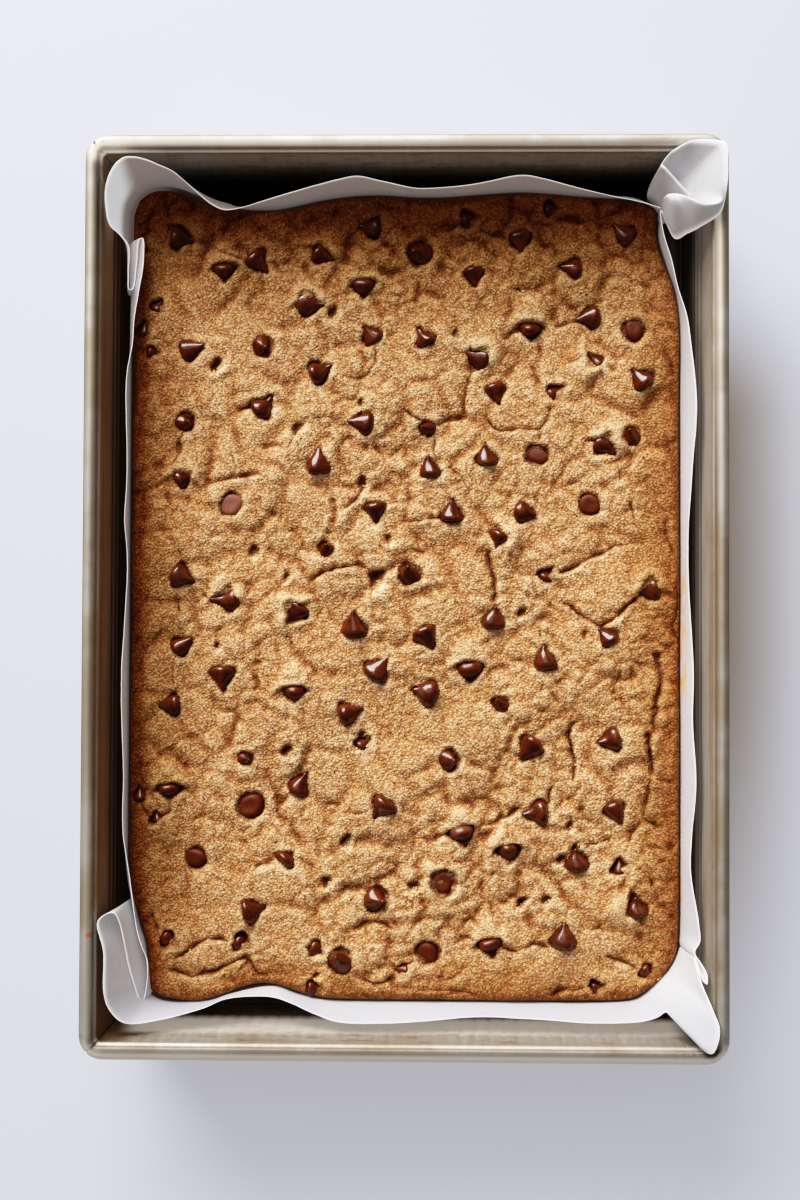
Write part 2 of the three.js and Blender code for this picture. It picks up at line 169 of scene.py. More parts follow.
def make_piece(name, points, faces, values=None, material=None):
    """A mesh object from points in millimetres, faces, and named values at its points."""
    mesh = bpy.data.meshes.new(name)
    mesh.from_pydata((np.asarray(points, float) * MM).tolist(), [], faces)
    for key, numbers in (values or {}).items():
        layer = mesh.attributes.new(key, "FLOAT", "POINT")
        layer.data.foreach_set("value", np.asarray(numbers, np.float32).ravel())
    mesh.update()
    if material:
        mesh.materials.append(material)
    mesh.shade_smooth()
    piece = bpy.data.objects.new(name, mesh)
    bpy.context.scene.collection.objects.link(piece)
    return piece


def grid_faces(rows, columns, wrap=False):
    """Faces between points laid out row after row, turned to face the rows' left."""
    faces = []
    span = columns if wrap else columns - 1
    for row in range(rows - 1):
        for column in range(span):
            ahead = (column + 1) % columns
            faces.append((row * columns + column, row * columns + ahead,
                          (row + 1) * columns + ahead, (row + 1) * columns + column))
    return faces


# Node trees written as sums and products.

class Wire:
    """A number, vector or colour on its way through a node tree."""

    def __init__(self, tree, socket):
        self.tree = tree
        self.socket = socket

    def maths(self, operation, *numbers):
        return self.tree.node("ShaderNodeMath", {"operation": operation}, dict(enumerate(numbers)))

    def __add__(self, other):
        return self.maths("ADD", self, other)

    def __radd__(self, other):
        return self.maths("ADD", other, self)

    def __sub__(self, other):
        return self.maths("SUBTRACT", self, other)

    def __rsub__(self, other):
        return self.maths("SUBTRACT", other, self)

    def __mul__(self, other):
        return self.maths("MULTIPLY", self, other)

    def __rmul__(self, other):
        return self.maths("MULTIPLY", other, self)

    def __truediv__(self, other):
        return self.maths("DIVIDE", self, other)

    def __mod__(self, other):
        return self.maths("MODULO", self, other)

    def __pow__(self, other):
        return self.maths("POWER", self, other)

    def __abs__(self):
        return self.maths("ABSOLUTE", self)

    def at_most(self, other):
        return self.maths("MINIMUM", self, other)

    def at_least(self, other):
        return self.maths("MAXIMUM", self, other)

    def apply(self, operation):
        return self.maths(operation, self)

    def step_up(self, low, high):
        """Rises smoothly from 0 to 1 as the number goes from low to high."""
        return self.tree.node(
            "ShaderNodeMapRange", {"interpolation_type": "SMOOTHSTEP"},
            {"Value": self, "From Min": low, "From Max": high})

    def out(self, name):
        """Another output of the same node."""
        return Wire(self.tree, self.socket.node.outputs[name])

    def parts(self):
        """The three numbers of a vector."""
        split = self.tree.node("ShaderNodeSeparateXYZ", {}, {"Vector": self})
        return split.out("X"), split.out("Y"), split.out("Z")


class Tree:
    """Adds nodes to one tree."""

    def __init__(self, tree):
        self.tree = tree

    def node(self, kind, settings=None, inputs=None, output=0):
        """A node with its settings, then the values or links of its inputs."""
        made = self.tree.nodes.new(kind)
        for name, value in (settings or {}).items():
            if name == "curve":
                self.set_curve(made.mapping, value)
            else:
                setattr(made, name, value)
        for key, value in (inputs or {}).items():
            if isinstance(value, Wire):
                self.tree.links.new(value.socket, made.inputs[key])
            else:
                made.inputs[key].default_value = value
        return Wire(self, made.outputs[output]) if made.outputs else None

    @staticmethod
    def set_curve(mapping, points):
        curve = mapping.curves[0]
        curve.points[0].location = points[0]
        curve.points[1].location = points[-1]
        for place in points[1:-1]:
            curve.points.new(*place)
        mapping.update()

    def vector(self, x, y, z):
        return self.node("ShaderNodeCombineXYZ", {}, {"X": x, "Y": y, "Z": z})


class Finish(Tree):
    """A material built from a pattern that sits on the piece."""

    def __init__(self, name):
        self.material = bpy.data.materials.new(name)
        self.material.use_nodes = True
        super().__init__(self.material.node_tree)
        self.tree.nodes.clear()
        self.place = self.node("ShaderNodeTexCoord").out("Object")

    def stretched(self, x, y, z):
        """The place with each axis scaled, for patterns that run one way."""
        return self.node("ShaderNodeMapping", {}, {"Vector": self.place, "Scale": (x, y, z)})

    def noise(self, size, detail=2.0, roughness=0.5, place=None):
        """Cloudy values from 0 to 1 whose spots are about one size, in millimetres."""
        return self.node("ShaderNodeTexNoise", {}, {
            "Vector": place or self.place, "Scale": 1 / (size * MM), "Detail": detail,
            "Roughness": roughness})

    def grains(self, size, place=None):
        """Scattered cells: how far the nearest cell's middle is, and a colour for each cell."""
        return self.node("ShaderNodeTexVoronoi", {},
                         {"Vector": place or self.place, "Scale": 1 / (size * MM)})

    def swayed(self, size, reach):
        """The place pushed about by a noise, so that cells get uneven sides."""
        sway = self.node("ShaderNodeTexNoise", {}, {
            "Vector": self.place, "Scale": 1 / (size * MM), "Detail": 1.0}, output=1)
        return self.node("ShaderNodeVectorMath", {"operation": "MULTIPLY_ADD"}, {
            0: sway, 1: (reach * MM, reach * MM, reach * MM), 2: self.place})

    def value(self, name):
        return self.node("ShaderNodeAttribute", {"attribute_name": name}).out("Fac")

    def blend(self, share, first, second, how="MIX"):
        """One colour laid over another by a share."""
        return self.node("ShaderNodeMix", {"data_type": "RGBA", "blend_type": how},
                         {0: share, 6: first, 7: second}, output=2)

    def bump(self, height, distance, strength=1.0, under=None):
        inputs = {"Height": height, "Distance": distance * MM, "Strength": strength}
        if under:
            inputs["Normal"] = under
        return self.node("ShaderNodeBump", {}, inputs)

    def surface(self, **sockets):
        """Ends the material in one shader, with underscores for spaces in socket names."""
        inputs = {key.replace("_", " "): value for key, value in sockets.items()}
        shader = self.node("ShaderNodeBsdfPrincipled", {}, inputs)
        self.node("ShaderNodeOutputMaterial", {}, {"Surface": shader})
        return self.material


class Growth(Tree):
    """A Geometry Nodes tree with named inputs, that ends in real faces."""

    def __init__(self, name, sizes):
        group = bpy.data.node_groups.new(name, "GeometryNodeTree")
        super().__init__(group)
        group.interface.new_socket("Geometry", in_out="INPUT", socket_type="NodeSocketGeometry")
        group.interface.new_socket("Geometry", in_out="OUTPUT", socket_type="NodeSocketGeometry")
        self.identifiers = {}
        for key, value in sizes.items():
            kind = "NodeSocketObject" if isinstance(value, bpy.types.Object) else "NodeSocketFloat"
            if isinstance(value, int):
                kind = "NodeSocketInt"
            socket = group.interface.new_socket(key, in_out="INPUT", socket_type=kind)
            self.identifiers[key] = socket.identifier
        self.sizes = sizes
        self.entry = group.nodes.new("NodeGroupInput")
        self.exit = group.nodes.new("NodeGroupOutput")

    def given(self, name):
        """One of the tree's own inputs."""
        return Wire(self, self.entry.outputs[name])

    def named(self, name, kind="FLOAT"):
        return self.node("GeometryNodeInputNamedAttribute", {"data_type": kind}, {"Name": name})

    def store(self, geometry, name, value):
        return self.node("GeometryNodeStoreNamedAttribute", {"data_type": "FLOAT", "domain": "POINT"},
                         {"Geometry": geometry, "Name": name, "Value": value})

    def move(self, geometry, **how):
        inputs = {"Geometry": geometry, **{key.capitalize(): value for key, value in how.items()}}
        return self.node("GeometryNodeSetPosition", {}, inputs)

    def sway(self, scale, reach):
        """A push this way or that, from a noise that is finer the larger its scale is."""
        noise = self.node("ShaderNodeTexNoise", {}, {"Scale": scale, "Detail": 0.0}, output=1)
        away = self.node("ShaderNodeVectorMath", {"operation": "SUBTRACT"},
                         {0: noise, 1: (0.5, 0.5, 0.5)})
        return self.node("ShaderNodeVectorMath", {"operation": "SCALE"}, {0: away, "Scale": reach})

    def grow(self, piece, geometry, material):
        """Runs the tree on a piece and turns what comes out into its mesh."""
        real = self.node("GeometryNodeRealizeInstances", {}, {"Geometry": geometry})
        soft = self.node("GeometryNodeSetShadeSmooth", {}, {"Geometry": real})
        painted = self.node("GeometryNodeSetMaterial", {}, {"Geometry": soft, "Material": material})
        self.tree.links.new(painted.socket, self.exit.inputs["Geometry"])
        modifier = piece.modifiers.new(self.tree.name, "NODES")
        modifier.node_group = self.tree
        for key, value in self.sizes.items():
            modifier[self.identifiers[key]] = value
        depsgraph = bpy.context.evaluated_depsgraph_get()
        mesh = bpy.data.meshes.new_from_object(
            piece.evaluated_get(depsgraph), preserve_all_data_layers=True, depsgraph=depsgraph)
        piece.modifiers.remove(modifier)
        piece.data = mesh
        piece.data.name = piece.name
        return piece


def srgb(red, green, blue):
    """A colour from the 0 to 255 values of a screen."""
    def channel(value):
        share = value / 255
        return share / 12.92 if share <= 0.04045 else ((share + 0.055) / 1.055) ** 2.4
    return (channel(red), channel(green), channel(blue), 1.0)


# What gives no light of its own.
UNLIT = (0.0, 0.0, 0.0, 1.0)


# Where the paper presses into the slab's edge, or the edge swells past its line:
# centre, push and reach.
PRESSES = [
    ((106, 144), (-8.5, -1.5), 20),
    ((-67, 155), (0, -3.4), 15),
    ((-48, 155), (0, -3.6), 13),
    ((-94, 156), (0, 4), 13),
    ((-12, 156), (0, 1.3), 14),
    ((44, 156), (0, 2.3), 22),
    ((-106, -143), (8, 2), 21),
    ((-54, -155), (0, 6), 15),
    ((-84, -155), (0, -1.5), 14),
    ((106, -155), (-7, 5.5), 13),
]


def warp(x, y):
    """Moves plan points of a straight-sided slab to where the pressed one has them."""
    warped_x = x + SLAB_SHIFT
    warped_y = y
    for (at_x, at_y), (push_x, push_y), reach in PRESSES:
        weight = np.exp(-((x - at_x) ** 2 + (y - at_y) ** 2) / reach ** 2)
        warped_x = warped_x + push_x * weight
        warped_y = warped_y + push_y * weight
    return warped_x, warped_y


def round_plan(x, y, half_width, half_length, corner):
    """Bends the square corners of a plan onto round ones."""
    over_x = np.clip((np.abs(x) - (half_width - corner)) / corner, 0, 1)
    over_y = np.clip((np.abs(y) - (half_length - corner)) / corner, 0, 1)
    inner_x = np.minimum(np.abs(x), half_width - corner)
    inner_y = np.minimum(np.abs(y), half_length - corner)
    round_x = inner_x + corner * over_x * np.sqrt(1 - over_y ** 2 / 2)
    round_y = inner_y + corner * over_y * np.sqrt(1 - over_x ** 2 / 2)
    return np.sign(x) * round_x, np.sign(y) * round_y


def slab_level(x, y):
    """The height of the slab's top with its broad, soft lumps."""
    broad = 0.55 * np.sin(x / 17 + 1.1) * np.cos(y / 14 - 0.6)
    slant = 0.45 * np.sin((x + 0.8 * y) / 10.5 + 2.2)
    counter = 0.4 * np.sin((0.7 * x - y) / 8.3 - 0.9)
    dish = 1.3 * (1 - (x / SLAB_HALF_WIDTH) ** 2) * (1 - (y / SLAB_HALF_LENGTH) ** 2)
    return SLAB_CROWN + broad + slant + counter - dish


# The chips, each as across, along, the way its tip points in degrees from +X, and size.

LYING_CHIPS = [
    (-88, 140, -10, 1.1), (-58, 131, -50, 1), (-14, 144, 175, 1), (-33, 133, -15, 0.95),
    (-84, 96, 20, 1.05), (-14, 102, 130, 0.9), (-34, 88, 25, 1.1),
    (-56, 74, 50, 1.1), (-34, 52, 90, 1.05), (44, 139, -90, 1), (26, 125, -85, 0.95),
    (64, 128, 175, 0.95), (84, 141, 140, 0.95), (71, 109, 190, 1), (7, 101, 120, 0.95),
    (91, 85, 135, 1), (-17, 68, 170, 1.05), (35, 80, -80, 0.95), (31, 55, 95, 1),
    (9, 50, 100, 0.95), (-87, 46, 30, 0.8), (-12, 34, -85, 0.95), (-87, 8, -25, 1.05),
    (-20, -11, 90, 1.1), (-87, -19, 35, 0.9),
    (-71, -31, -85, 1.1), (-11, -28, 45, 1.1), (-22, -45, 20, 1), (-91, -42, 180, 0.9),
    (18, 33, 90, 1), (46, 33, -10, 0.95), (34, -8, 85, 0.95),
    (8, -15, -60, 1.05), (78, -15, 135, 0.9), (54, -24, 95, 1), (8, -37, 165, 1.1),
    (79, -55, 190, 1.05), (48, -58, 235, 1.1), (-41, -73, 60, 0.95), (-9, -81, 235, 1.05),
    (-59, -121, 15, 1.05), (51, -83, 185, 1.05), (81, -82, -65, 0.95), (66, -101, 95, 1.05),
    (89, -119, 100, 0.95), (61, -131, 85, 1.1), (36, 23, 250, 0.8),
]
COVERED_CHIPS = [
    (-38, 114, 0, 1.2), (-70, -1, 180, 1.15), (-43, -6, 235, 1.1), (94, 3, 190, 1.05),
    (28, 93, 150, 1), (77, 59, -35, 1.05), (73, 92, 130, 0.75),
]
CUPPED_CHIPS = [
    (-71, 127, -90, 1), (-17, 121, -90, 1), (48, 104, -90, 1),
    (-43, -37, -90, 0.95), (25, -28, -88, 1.1), (-91, -75, -90, 1),
    (22, -91, -75, 1.1), (40, -98, -80, 1), (33, -134, -80, 1), (-46, -101, 45, 0.9),
]
DISC_CHIPS = [
    (88, 104, 0, 0.95), (51, 55, 0, 1), (71, 36, 0, 1), (-60, -81, 0, 1.15),
    (15, -110, 0, 1.08), (9, -137, 0, 1), (-81, -101, 0, 0.95),
]
# This one's base has a pale bloom.
BLOOMED_CHIPS = [(-68, 36, 0, 0.95)]
UPRIGHT_CHIPS = [
    (-56, 98, -35, 0.95), (5, 134, 170, 1.1), (8, 66, 180, 0.7), (87, 63, 120, 0.85),
    (-31, 19, 90, 0.7), (1, 9, 95, 1.05), (-62, -63, 0, 0.65), (37, -41, 150, 0.8),
    (17, -63, 0, 0.9), (-11, -117, 0, 1.1), (-25, -140, 110, 1.05), (-86, 68, 0, 0.8),
]
# These are almost under the dough: only a dark glimpse shows.
SUNKEN_CHIPS = [
    (-97, 113, 60, 0.6), (-103, 104, 80, 0.7), (-99, 95, 0, 0.6), (24, 147, 10, 0.8),
    (56, 151, 0, 0.7), (58, 80, 30, 0.8), (55, 9, 60, 0.8), (-16, -57, 50, 0.75),
    (-91, -133, -30, 0.8), (-63, -134, -20, 0.9), (-96, -86, 100, 0.6), (-103, -77, 90, 0.6),
    (-1, -144, 170, 0.6), (-35, -151, 0, 0.7), (83, -104, 100, 0.8), (93, -144, -40, 0.7),
    (74, -150, 20, 0.6), (-34, -136, -30, 0.7),
]

# The rise of a chip's tip from level, in degrees, where the dough treats its kind apart.
CUPPED_RISE = -20
DISC_RISE = -84
SUNKEN_RISE = 10
# A chip that is steeper than this looks nearly round from above.
STEEP_RISE = 30

# How each kind sits: the tip's rise from level, how far the chip's middle lies above
# the dough in chip radii, and how much of its shine it has lost.
CHIP_KINDS = [
    (LYING_CHIPS, 15, -0.28, 0),
    (COVERED_CHIPS, 22, -0.5, 0),
    (CUPPED_CHIPS, CUPPED_RISE, -0.42, 0.35),
    (DISC_CHIPS, DISC_RISE, -0.76, 1),
    (BLOOMED_CHIPS, DISC_RISE, -0.78, 1.8),
    (UPRIGHT_CHIPS, 62, -0.25, 0.1),
    (SUNKEN_CHIPS, SUNKEN_RISE, -0.85, 0.3),
]
# The kinds above that rock a little from their rise, counted from the first, and how far.
ROCKED_KINDS = 2
ROCKING = 8

# Dough closed over one side of a chip: the chip's place, the side that the dough lies
# on in degrees from +X, and how far from the chip's middle it stops.
FLAPS = [
    (-38, 114, 90, 0.6), (-70, -1, 90, 1), (-43, -6, 140, 0.8), (94, 3, 100, 0),
    (28, 93, 60, 1), (77, 59, 60, 1), (73, 92, 225, 0.5), (-71, 127, 95, 2), (-17, 121, 100, 2),
    (48, 104, 90, 2.2), (-43, -37, 90, 2), (25, -28, 88, 2.6), (-91, -75, 95, 2),
    (22, -91, 105, 2), (40, -98, 100, 2), (33, -134, 95, 2), (-87, 46, 80, 0.5), (-88, 140, 40, 2.5),
    (-33, 133, 60, 2), (36, 23, 20, 1.5), (89, -119, 200, 2),
]
FLAP_RISE = 2

# Half of a chip's outline: its radius at shares of its height, from base to tip.
CHIP_OUTLINE = [(0, 0.6), (0.03, 0.76), (0.09, 0.9), (0.18, 1), (0.3, 0.97), (0.43, 0.83),
                (0.56, 0.62), (0.68, 0.42), (0.78, 0.28), (0.88, 0.18), (0.96, 0.11), (1, 0)]


def chip_gap(x, y, chip, rise):
    """How far a plan point lies outside the outline of a chip."""
    middle_x, middle_y, heading, size = chip
    turn = math.radians(heading)
    climb = math.radians(rise)
    along = ((x - middle_x) * math.cos(turn) + (y - middle_y) * math.sin(turn)) / size
    across = np.abs((y - middle_y) * math.cos(turn) - (x - middle_x) * math.sin(turn)) / size
    if abs(rise) > STEEP_RISE:
        flatter = CHIP_RADIUS * mix(1, abs(math.sin(climb)), 0.55)
        away = np.hypot(along / flatter, across / CHIP_RADIUS)
        return (away - 1) * CHIP_RADIUS * size
    share = (along / math.cos(climb) + CHIP_MIDDLE * CHIP_HEIGHT) / CHIP_HEIGHT
    shares, radii = zip(*CHIP_OUTLINE)
    half = CHIP_RADIUS * np.interp(share, shares, radii)
    beyond = np.maximum(np.maximum(-share, share - 1), 0) * CHIP_HEIGHT
    return np.where(beyond > 0, np.hypot(beyond, np.maximum(across - half, 0)), across - half) * size


# Creases in the dough: depth, half width, and points across and along.
CREASES = [
    (1, 0.8, [(-82.4, 139.2), (-78, 138.2), (-74.5, 136.4), (-71.8, 134), (-69, 132.3), (-62.8, 131.3)]),
    (0.7, 0.8, [(-51.7, 126.8), (-46.2, 127.1), (-42.4, 128.2), (-37.3, 129.4)]),
    (0.9, 0.8, [(-27.2, 130.2), (-23.5, 129.9), (-20, 129.2)]),
    (1, 0.9, [(-11, 125.4), (-8.3, 126.1), (-2.8, 126.8)]),
    (2, 1, [(-74.9, 87.1), (-74.5, 90.9), (-73.1, 92.6)]),
    (1.2, 0.8, [(-12.5, 97.5), (-11.7, 94.7), (-12.1, 91.6), (-14.8, 87.5), (-18.3, 85.7), (-24.1, 86.4)]),
    (0.6, 0.9, [(-69, 77.5), (-64.9, 79.7), (-60.7, 80.6), (-55.9, 80)]),
    (1.7, 0.9, [(-66.2, 71.6), (-64.2, 73.1), (-59.7, 74.2)]),
    (1.6, 0.9, [(-45.9, 58.1), (-44.2, 61.2), (-43.1, 64), (-41.4, 65.7)]),
    (1.9, 0.9, [(-56.6, 58.1), (-53.1, 58.8), (-49.7, 59.2), (-46.6, 58.5)]),
    (0.9, 1, [(-37.3, 69.5), (-31, 70.1), (-23.5, 69.2)]),
    (1.2, 0.9, [(-86.6, 64.7), (-87.6, 61.9), (-88.9, 56.4), (-87.6, 55.7)]),
    (1.5, 0.9, [(-100, 95), (-96.2, 94.7)]),
    (1, 0.9, [(-87.3, 60.8), (-88, 56), (-89.7, 53.2), (-91.1, 51.2)]),
    (1.6, 0.8, [(-68.6, 56.7), (-67.3, 53.2), (-66.2, 51.2)]),
    (1.8, 0.9, [(-77.3, 43.9), (-73.1, 44.6), (-69, 46), (-64.9, 46.7), (-60.7, 48.1), (-55.2, 48.5)]),
    (1.5, 0.9, [(-15.9, 46), (-17.2, 42.9), (-19.3, 37.7), (-22.8, 35.6), (-25.9, 34.3)]),
    (1.5, 0.8, [(-7.6, 36.3), (-4.8, 36.7), (-2.2, 37)]),
    (1.3, 0.8, [(-7, 24.3), (-7, 20.8), (-6.5, 16.7)]),
    (1.8, 0.9, [(-37.9, 5.6), (-35.2, 7.7), (-31, 9.8), (-26.9, 11.5), (-22.8, 12.1), (-17.9, 12.3),
        (-14.5, 11.3)]),
    (1.9, 1, [(-13.4, 1.5), (-13.4, 5.6), (-11.7, 9.1), (-7.6, 10.6)]),
    (1, 0.7, [(-60.4, 5.6), (-58.3, 3.2)]),
    (1.6, 0.9, [(-89, 0.1), (-88.3, -3.3), (-87.5, -7.5)]),
    (1.3, 0.9, [(-90.2, -25.4), (-90.9, -28.9), (-90.5, -33), (-90.4, -35.8)]),
    (0.6, 0.8, [(-80.7, 27.7), (-75.9, 22.9), (-71.8, 24.9)]),
    (1.6, 0.8, [(-79.7, 1.3), (-75.9, -0.4)]),
    (0.9, 0.7, [(-55.9, -20.6), (-57.4, -23.7)]),
    (1.4, 0.8, [(-72.8, -17.5), (-73.1, -19.9)]),
    (1.4, 0.8, [(-2.2, 29.1), (3, 29.6), (6.7, 30.3), (9.6, 31.1), (13.7, 30.2)]),
    (1, 0.8, [(16.7, 50.1), (20, 47.6), (22.6, 44.6), (24, 41.6)]),
    (2, 0.9, [(33.1, 18.9), (31.4, 16.1), (32.2, 13.2), (33.7, 9.5), (34.4, 5.8), (34.8, 1.3), (34, -2.3)]),
    (1.7, 0.8, [(59.2, 9.5), (64, 11.7), (68.8, 13.9), (72.5, 16.3), (75.1, 16.9), (78, 17.8)]),
    (1.1, 0.9, [(78, 17.8), (79.9, 20), (85, 20.9), (89.5, 21.3)]),
    (0.8, 0.8, [(42.9, 10.2), (46.6, 8.7), (49.5, 7.9), (52.5, 8.7)]),
    (1.6, 0.8, [(59.9, -0.1), (62.9, -3.1), (66.5, -5.7), (70.6, -8.6), (75.4, -10.6), (78.4, -9.4),
        (81.3, -7.2), (84.3, -4.2), (88.4, -0.1)]),
    (1, 0.8, [(71, -12), (69.1, -14.2), (68.4, -16.8)]),
    (0.8, 0.7, [(51.6, -11.2), (52.1, -16)]),
    (0.8, 0.8, [(51, -30.4), (52.9, -33), (52.5, -36.4), (51.2, -39.3)]),
    (2.6, 1.1, [(98.5, -20.8), (97.4, -24.5), (98, -29), (98.7, -32.7), (98, -37.1), (96.9, -41.5),
        (96, -46), (95.2, -50.4)]),
    (1.8, 0.9, [(93.9, -51.9), (93.9, -56.3), (94.8, -62.2)]),
    (1.8, 0.9, [(105.4, 11.7), (105, 2.8), (104.3, -3.8), (103.5, -10.5), (105.4, -17.9)]),
    (1.2, 0.9, [(99.8, 30.9), (100.2, 25), (101.3, 20.6), (104.3, 16.1)]),
    (1, 0.7, [(82.4, 49.4), (82.4, 44.6)]),
    (1.2, 0.7, [(85.8, 37.9), (87.6, 33.9), (88, 29.8)]),
    (1.5, 0.9, [(66.9, -46.7), (63.7, -50.4), (63.2, -53.4), (64, -57.1), (64.3, -62.2)]),
    (0.7, 0.8, [(79.9, -38.6), (80.6, -34.1), (82.4, -30.4), (82.8, -26.7)]),
    (1, 0.9, [(-2.2, 36.8), (2.2, 38.5), (5.9, 39.8)]),
    (1.5, 0.9, [(-106.1, -76), (-102.5, -77), (-100.7, -75.6), (-99, -73.8)]),
    (1.2, 0.8, [(-101.1, -77.4), (-101.4, -81.7), (-99.7, -85.2), (-96.8, -86.5), (-93.2, -84.5),
        (-91, -83.1), (-90.4, -80.4)]),
    (1.5, 0.9, [(-50.5, -81), (-47.5, -78.8), (-45, -76)]),
    (1.7, 1, [(-31.1, -80.8), (-28.2, -79.9), (-25.7, -80.2)]),
    (1.2, 0.7, [(-24.6, -82), (-20.3, -83.1), (-14.3, -83.1)]),
    (2, 1, [(-57.9, -105.6), (-55.4, -103.5), (-51.8, -102), (-49.6, -101.7)]),
    (0.6, 0.8, [(-48.2, -92.7), (-43.9, -92.4), (-38.2, -92)]),
    (1.8, 0.9, [(-97.5, -121), (-96.8, -124.5), (-96.1, -127.8), (-95, -131), (-92.5, -133.1),
        (-89, -134.6)]),
    (1.6, 0.8, [(-89, -140.3), (-84, -137.1), (-79.7, -134.9), (-76.1, -132.6), (-71.8, -131.8),
        (-67.5, -132.4)]),
    (1.6, 0.8, [(-91.7, -143.1), (-86.8, -145.3), (-81.8, -146.3), (-76.1, -145.3), (-71.8, -144.2),
        (-68.6, -142.3), (-64.7, -140.3), (-61.8, -139.7), (-58.9, -142.6), (-56.1, -145.1),
        (-53.2, -146)]),
    (2, 1, [(-37.9, -135.3), (-34.6, -135.7), (-31.1, -138.3)]),
    (1.4, 0.8, [(-18.2, -146.3), (-15.3, -147.8), (-11.8, -148.8), (-7.5, -147.8), (-2.2, -146)]),
    (1.2, 0.8, [(-19.6, -128.1), (-15.3, -126), (-11.1, -125.6), (-6.8, -126.3), (-3.9, -128.1)]),
    (1.3, 0.8, [(-14.6, -152.4), (-14.2, -154.6)]),
    (1.4, 0.8, [(63.7, -50.3), (63.2, -54), (64.3, -58.5), (65.8, -63.6), (65.1, -68.8), (64.3, -71)]),
    (1.5, 0.8, [(56.6, -72.9), (55.5, -76.2), (55.1, -79.2)]),
    (1.2, 0.8, [(11.1, -93.9), (14.1, -92.1), (16.3, -91.7)]),
    (1.7, 0.9, [(26.6, -88.4), (31.1, -87.3), (35.5, -86.2), (39.2, -84.3), (42.2, -82.1), (45.1, -80.6)]),
    (1.5, 0.8, [(69.1, -96.7), (71.7, -94.7), (75.4, -94.3), (78.4, -93.2), (80, -91.7)]),
    (1.5, 0.8, [(94.6, -68.8), (93.9, -73.2), (93.2, -79.2), (91.8, -84.9), (96.9, -87.3), (99.2, -88.9)]),
    (1.1, 0.8, [(91.3, -85.4), (87.4, -91), (85.8, -95.4)]),
    (1.9, 0.9, [(93.9, -51.8), (94.6, -56.2), (95.4, -62.2), (94.8, -68.8)]),
    (1.6, 0.9, [(105.1, -93.2), (103.5, -95.4), (102.2, -98)]),
    (1.2, 0.8, [(93.9, -106.5), (95.4, -109.5), (94.5, -111.8)]),
    (1.4, 0.9, [(42.5, -120.2), (45.1, -117.6), (47.7, -116.1)]),
    (1, 0.8, [(29.6, -113.2), (31.2, -110.9), (33.3, -107.2), (36.2, -104.3)]),
    (1.4, 0.8, [(37, -134.2), (40.7, -135.5), (43.6, -136.4), (46.6, -134.6), (49.5, -133.1),
        (52.5, -133.9), (56.2, -135)]),
    (0.9, 0.8, [(17.8, -134.6), (20, -132.4), (23.7, -131.3), (27.4, -132)]),
    (2, 0.9, [(56.9, -153.8), (59.2, -151.2), (62.1, -150.1), (66.5, -150.5), (70.2, -149.8)]),
    (1.2, 0.8, [(76.9, -137.9), (82.1, -138.7), (86.5, -140.5), (89.5, -143.5)]),
    (1, 0.8, [(14.8, -147.2), (18.5, -146.4), (20.7, -144.2), (22.9, -142.7)]),
    (1.6, 0.9, [(-2.2, -144.2), (-0.7, -142), (2.2, -140.9), (4.3, -140.5)]),
    (0.9, 0.8, [(-2.2, -149.8), (5.2, -150.3), (12.6, -151), (22.2, -151.7), (28.8, -153.1)]),
    (0.8, 0.8, [(71.7, -127.2), (74.7, -126.5), (76.3, -128.1)]),
    (1.1, 0.8, [(13.5, 142.3), (17.1, 143.1), (20.7, 145.2), (24.2, 146.6)]),
    (1.3, 0.8, [(27.1, 144.1), (30.7, 142), (35, 140.6), (39.2, 139.8)]),
    (0.8, 0.8, [(12.1, 130.2), (15, 128.1), (19.2, 126.3)]),
    (0.8, 0.7, [(27.2, 119.5), (28.7, 115.6), (30, 112)]),
    (1.2, 0.8, [(60, 146.6), (65.7, 145.9), (70.7, 145.9), (73.6, 144.5), (77.8, 143.4), (80, 144.1)]),
    (1.5, 0.8, [(57.1, 104.7), (60, 105.9), (63.5, 107.3), (67.1, 108.4)]),
    (0.9, 0.8, [(36.7, 99.8), (39.2, 101.3), (42.1, 103), (44.3, 104.1)]),
    (1.9, 1, [(24.4, 97.7), (25.3, 94.1), (25, 89.8), (24.4, 85.5), (22.8, 81.2), (22.2, 76.2),
        (22.5, 70.2)]),
    (1.8, 0.8, [(22.5, 70.2), (18.5, 69.5), (15, 68.4), (11.4, 67)]),
    (1.5, 0.8, [(-2.2, 73), (1.4, 70.9), (4.2, 69.1), (6.4, 67.7)]),
    (1.2, 0.7, [(11, 63.4), (11, 58.4), (11.4, 54.8)]),
    (1.5, 0.8, [(31.4, 70.2), (33.5, 66.6), (35.7, 65.2), (40, 65.2), (44.3, 65.9), (47.8, 65.2),
        (51.4, 65.9), (53.9, 68.7), (55.3, 72.7), (55.8, 76.2)]),
    (0.8, 0.8, [(69.3, 94.1), (65.7, 92.7), (62.1, 91.3)]),
    (0.8, 0.7, [(75.7, 87.7), (76.1, 84.8), (76.8, 83.3)]),
    (1, 0.8, [(50.3, 59.8), (51.4, 62.7), (52.3, 64.8)]),
]
CREASE_REACH = 8

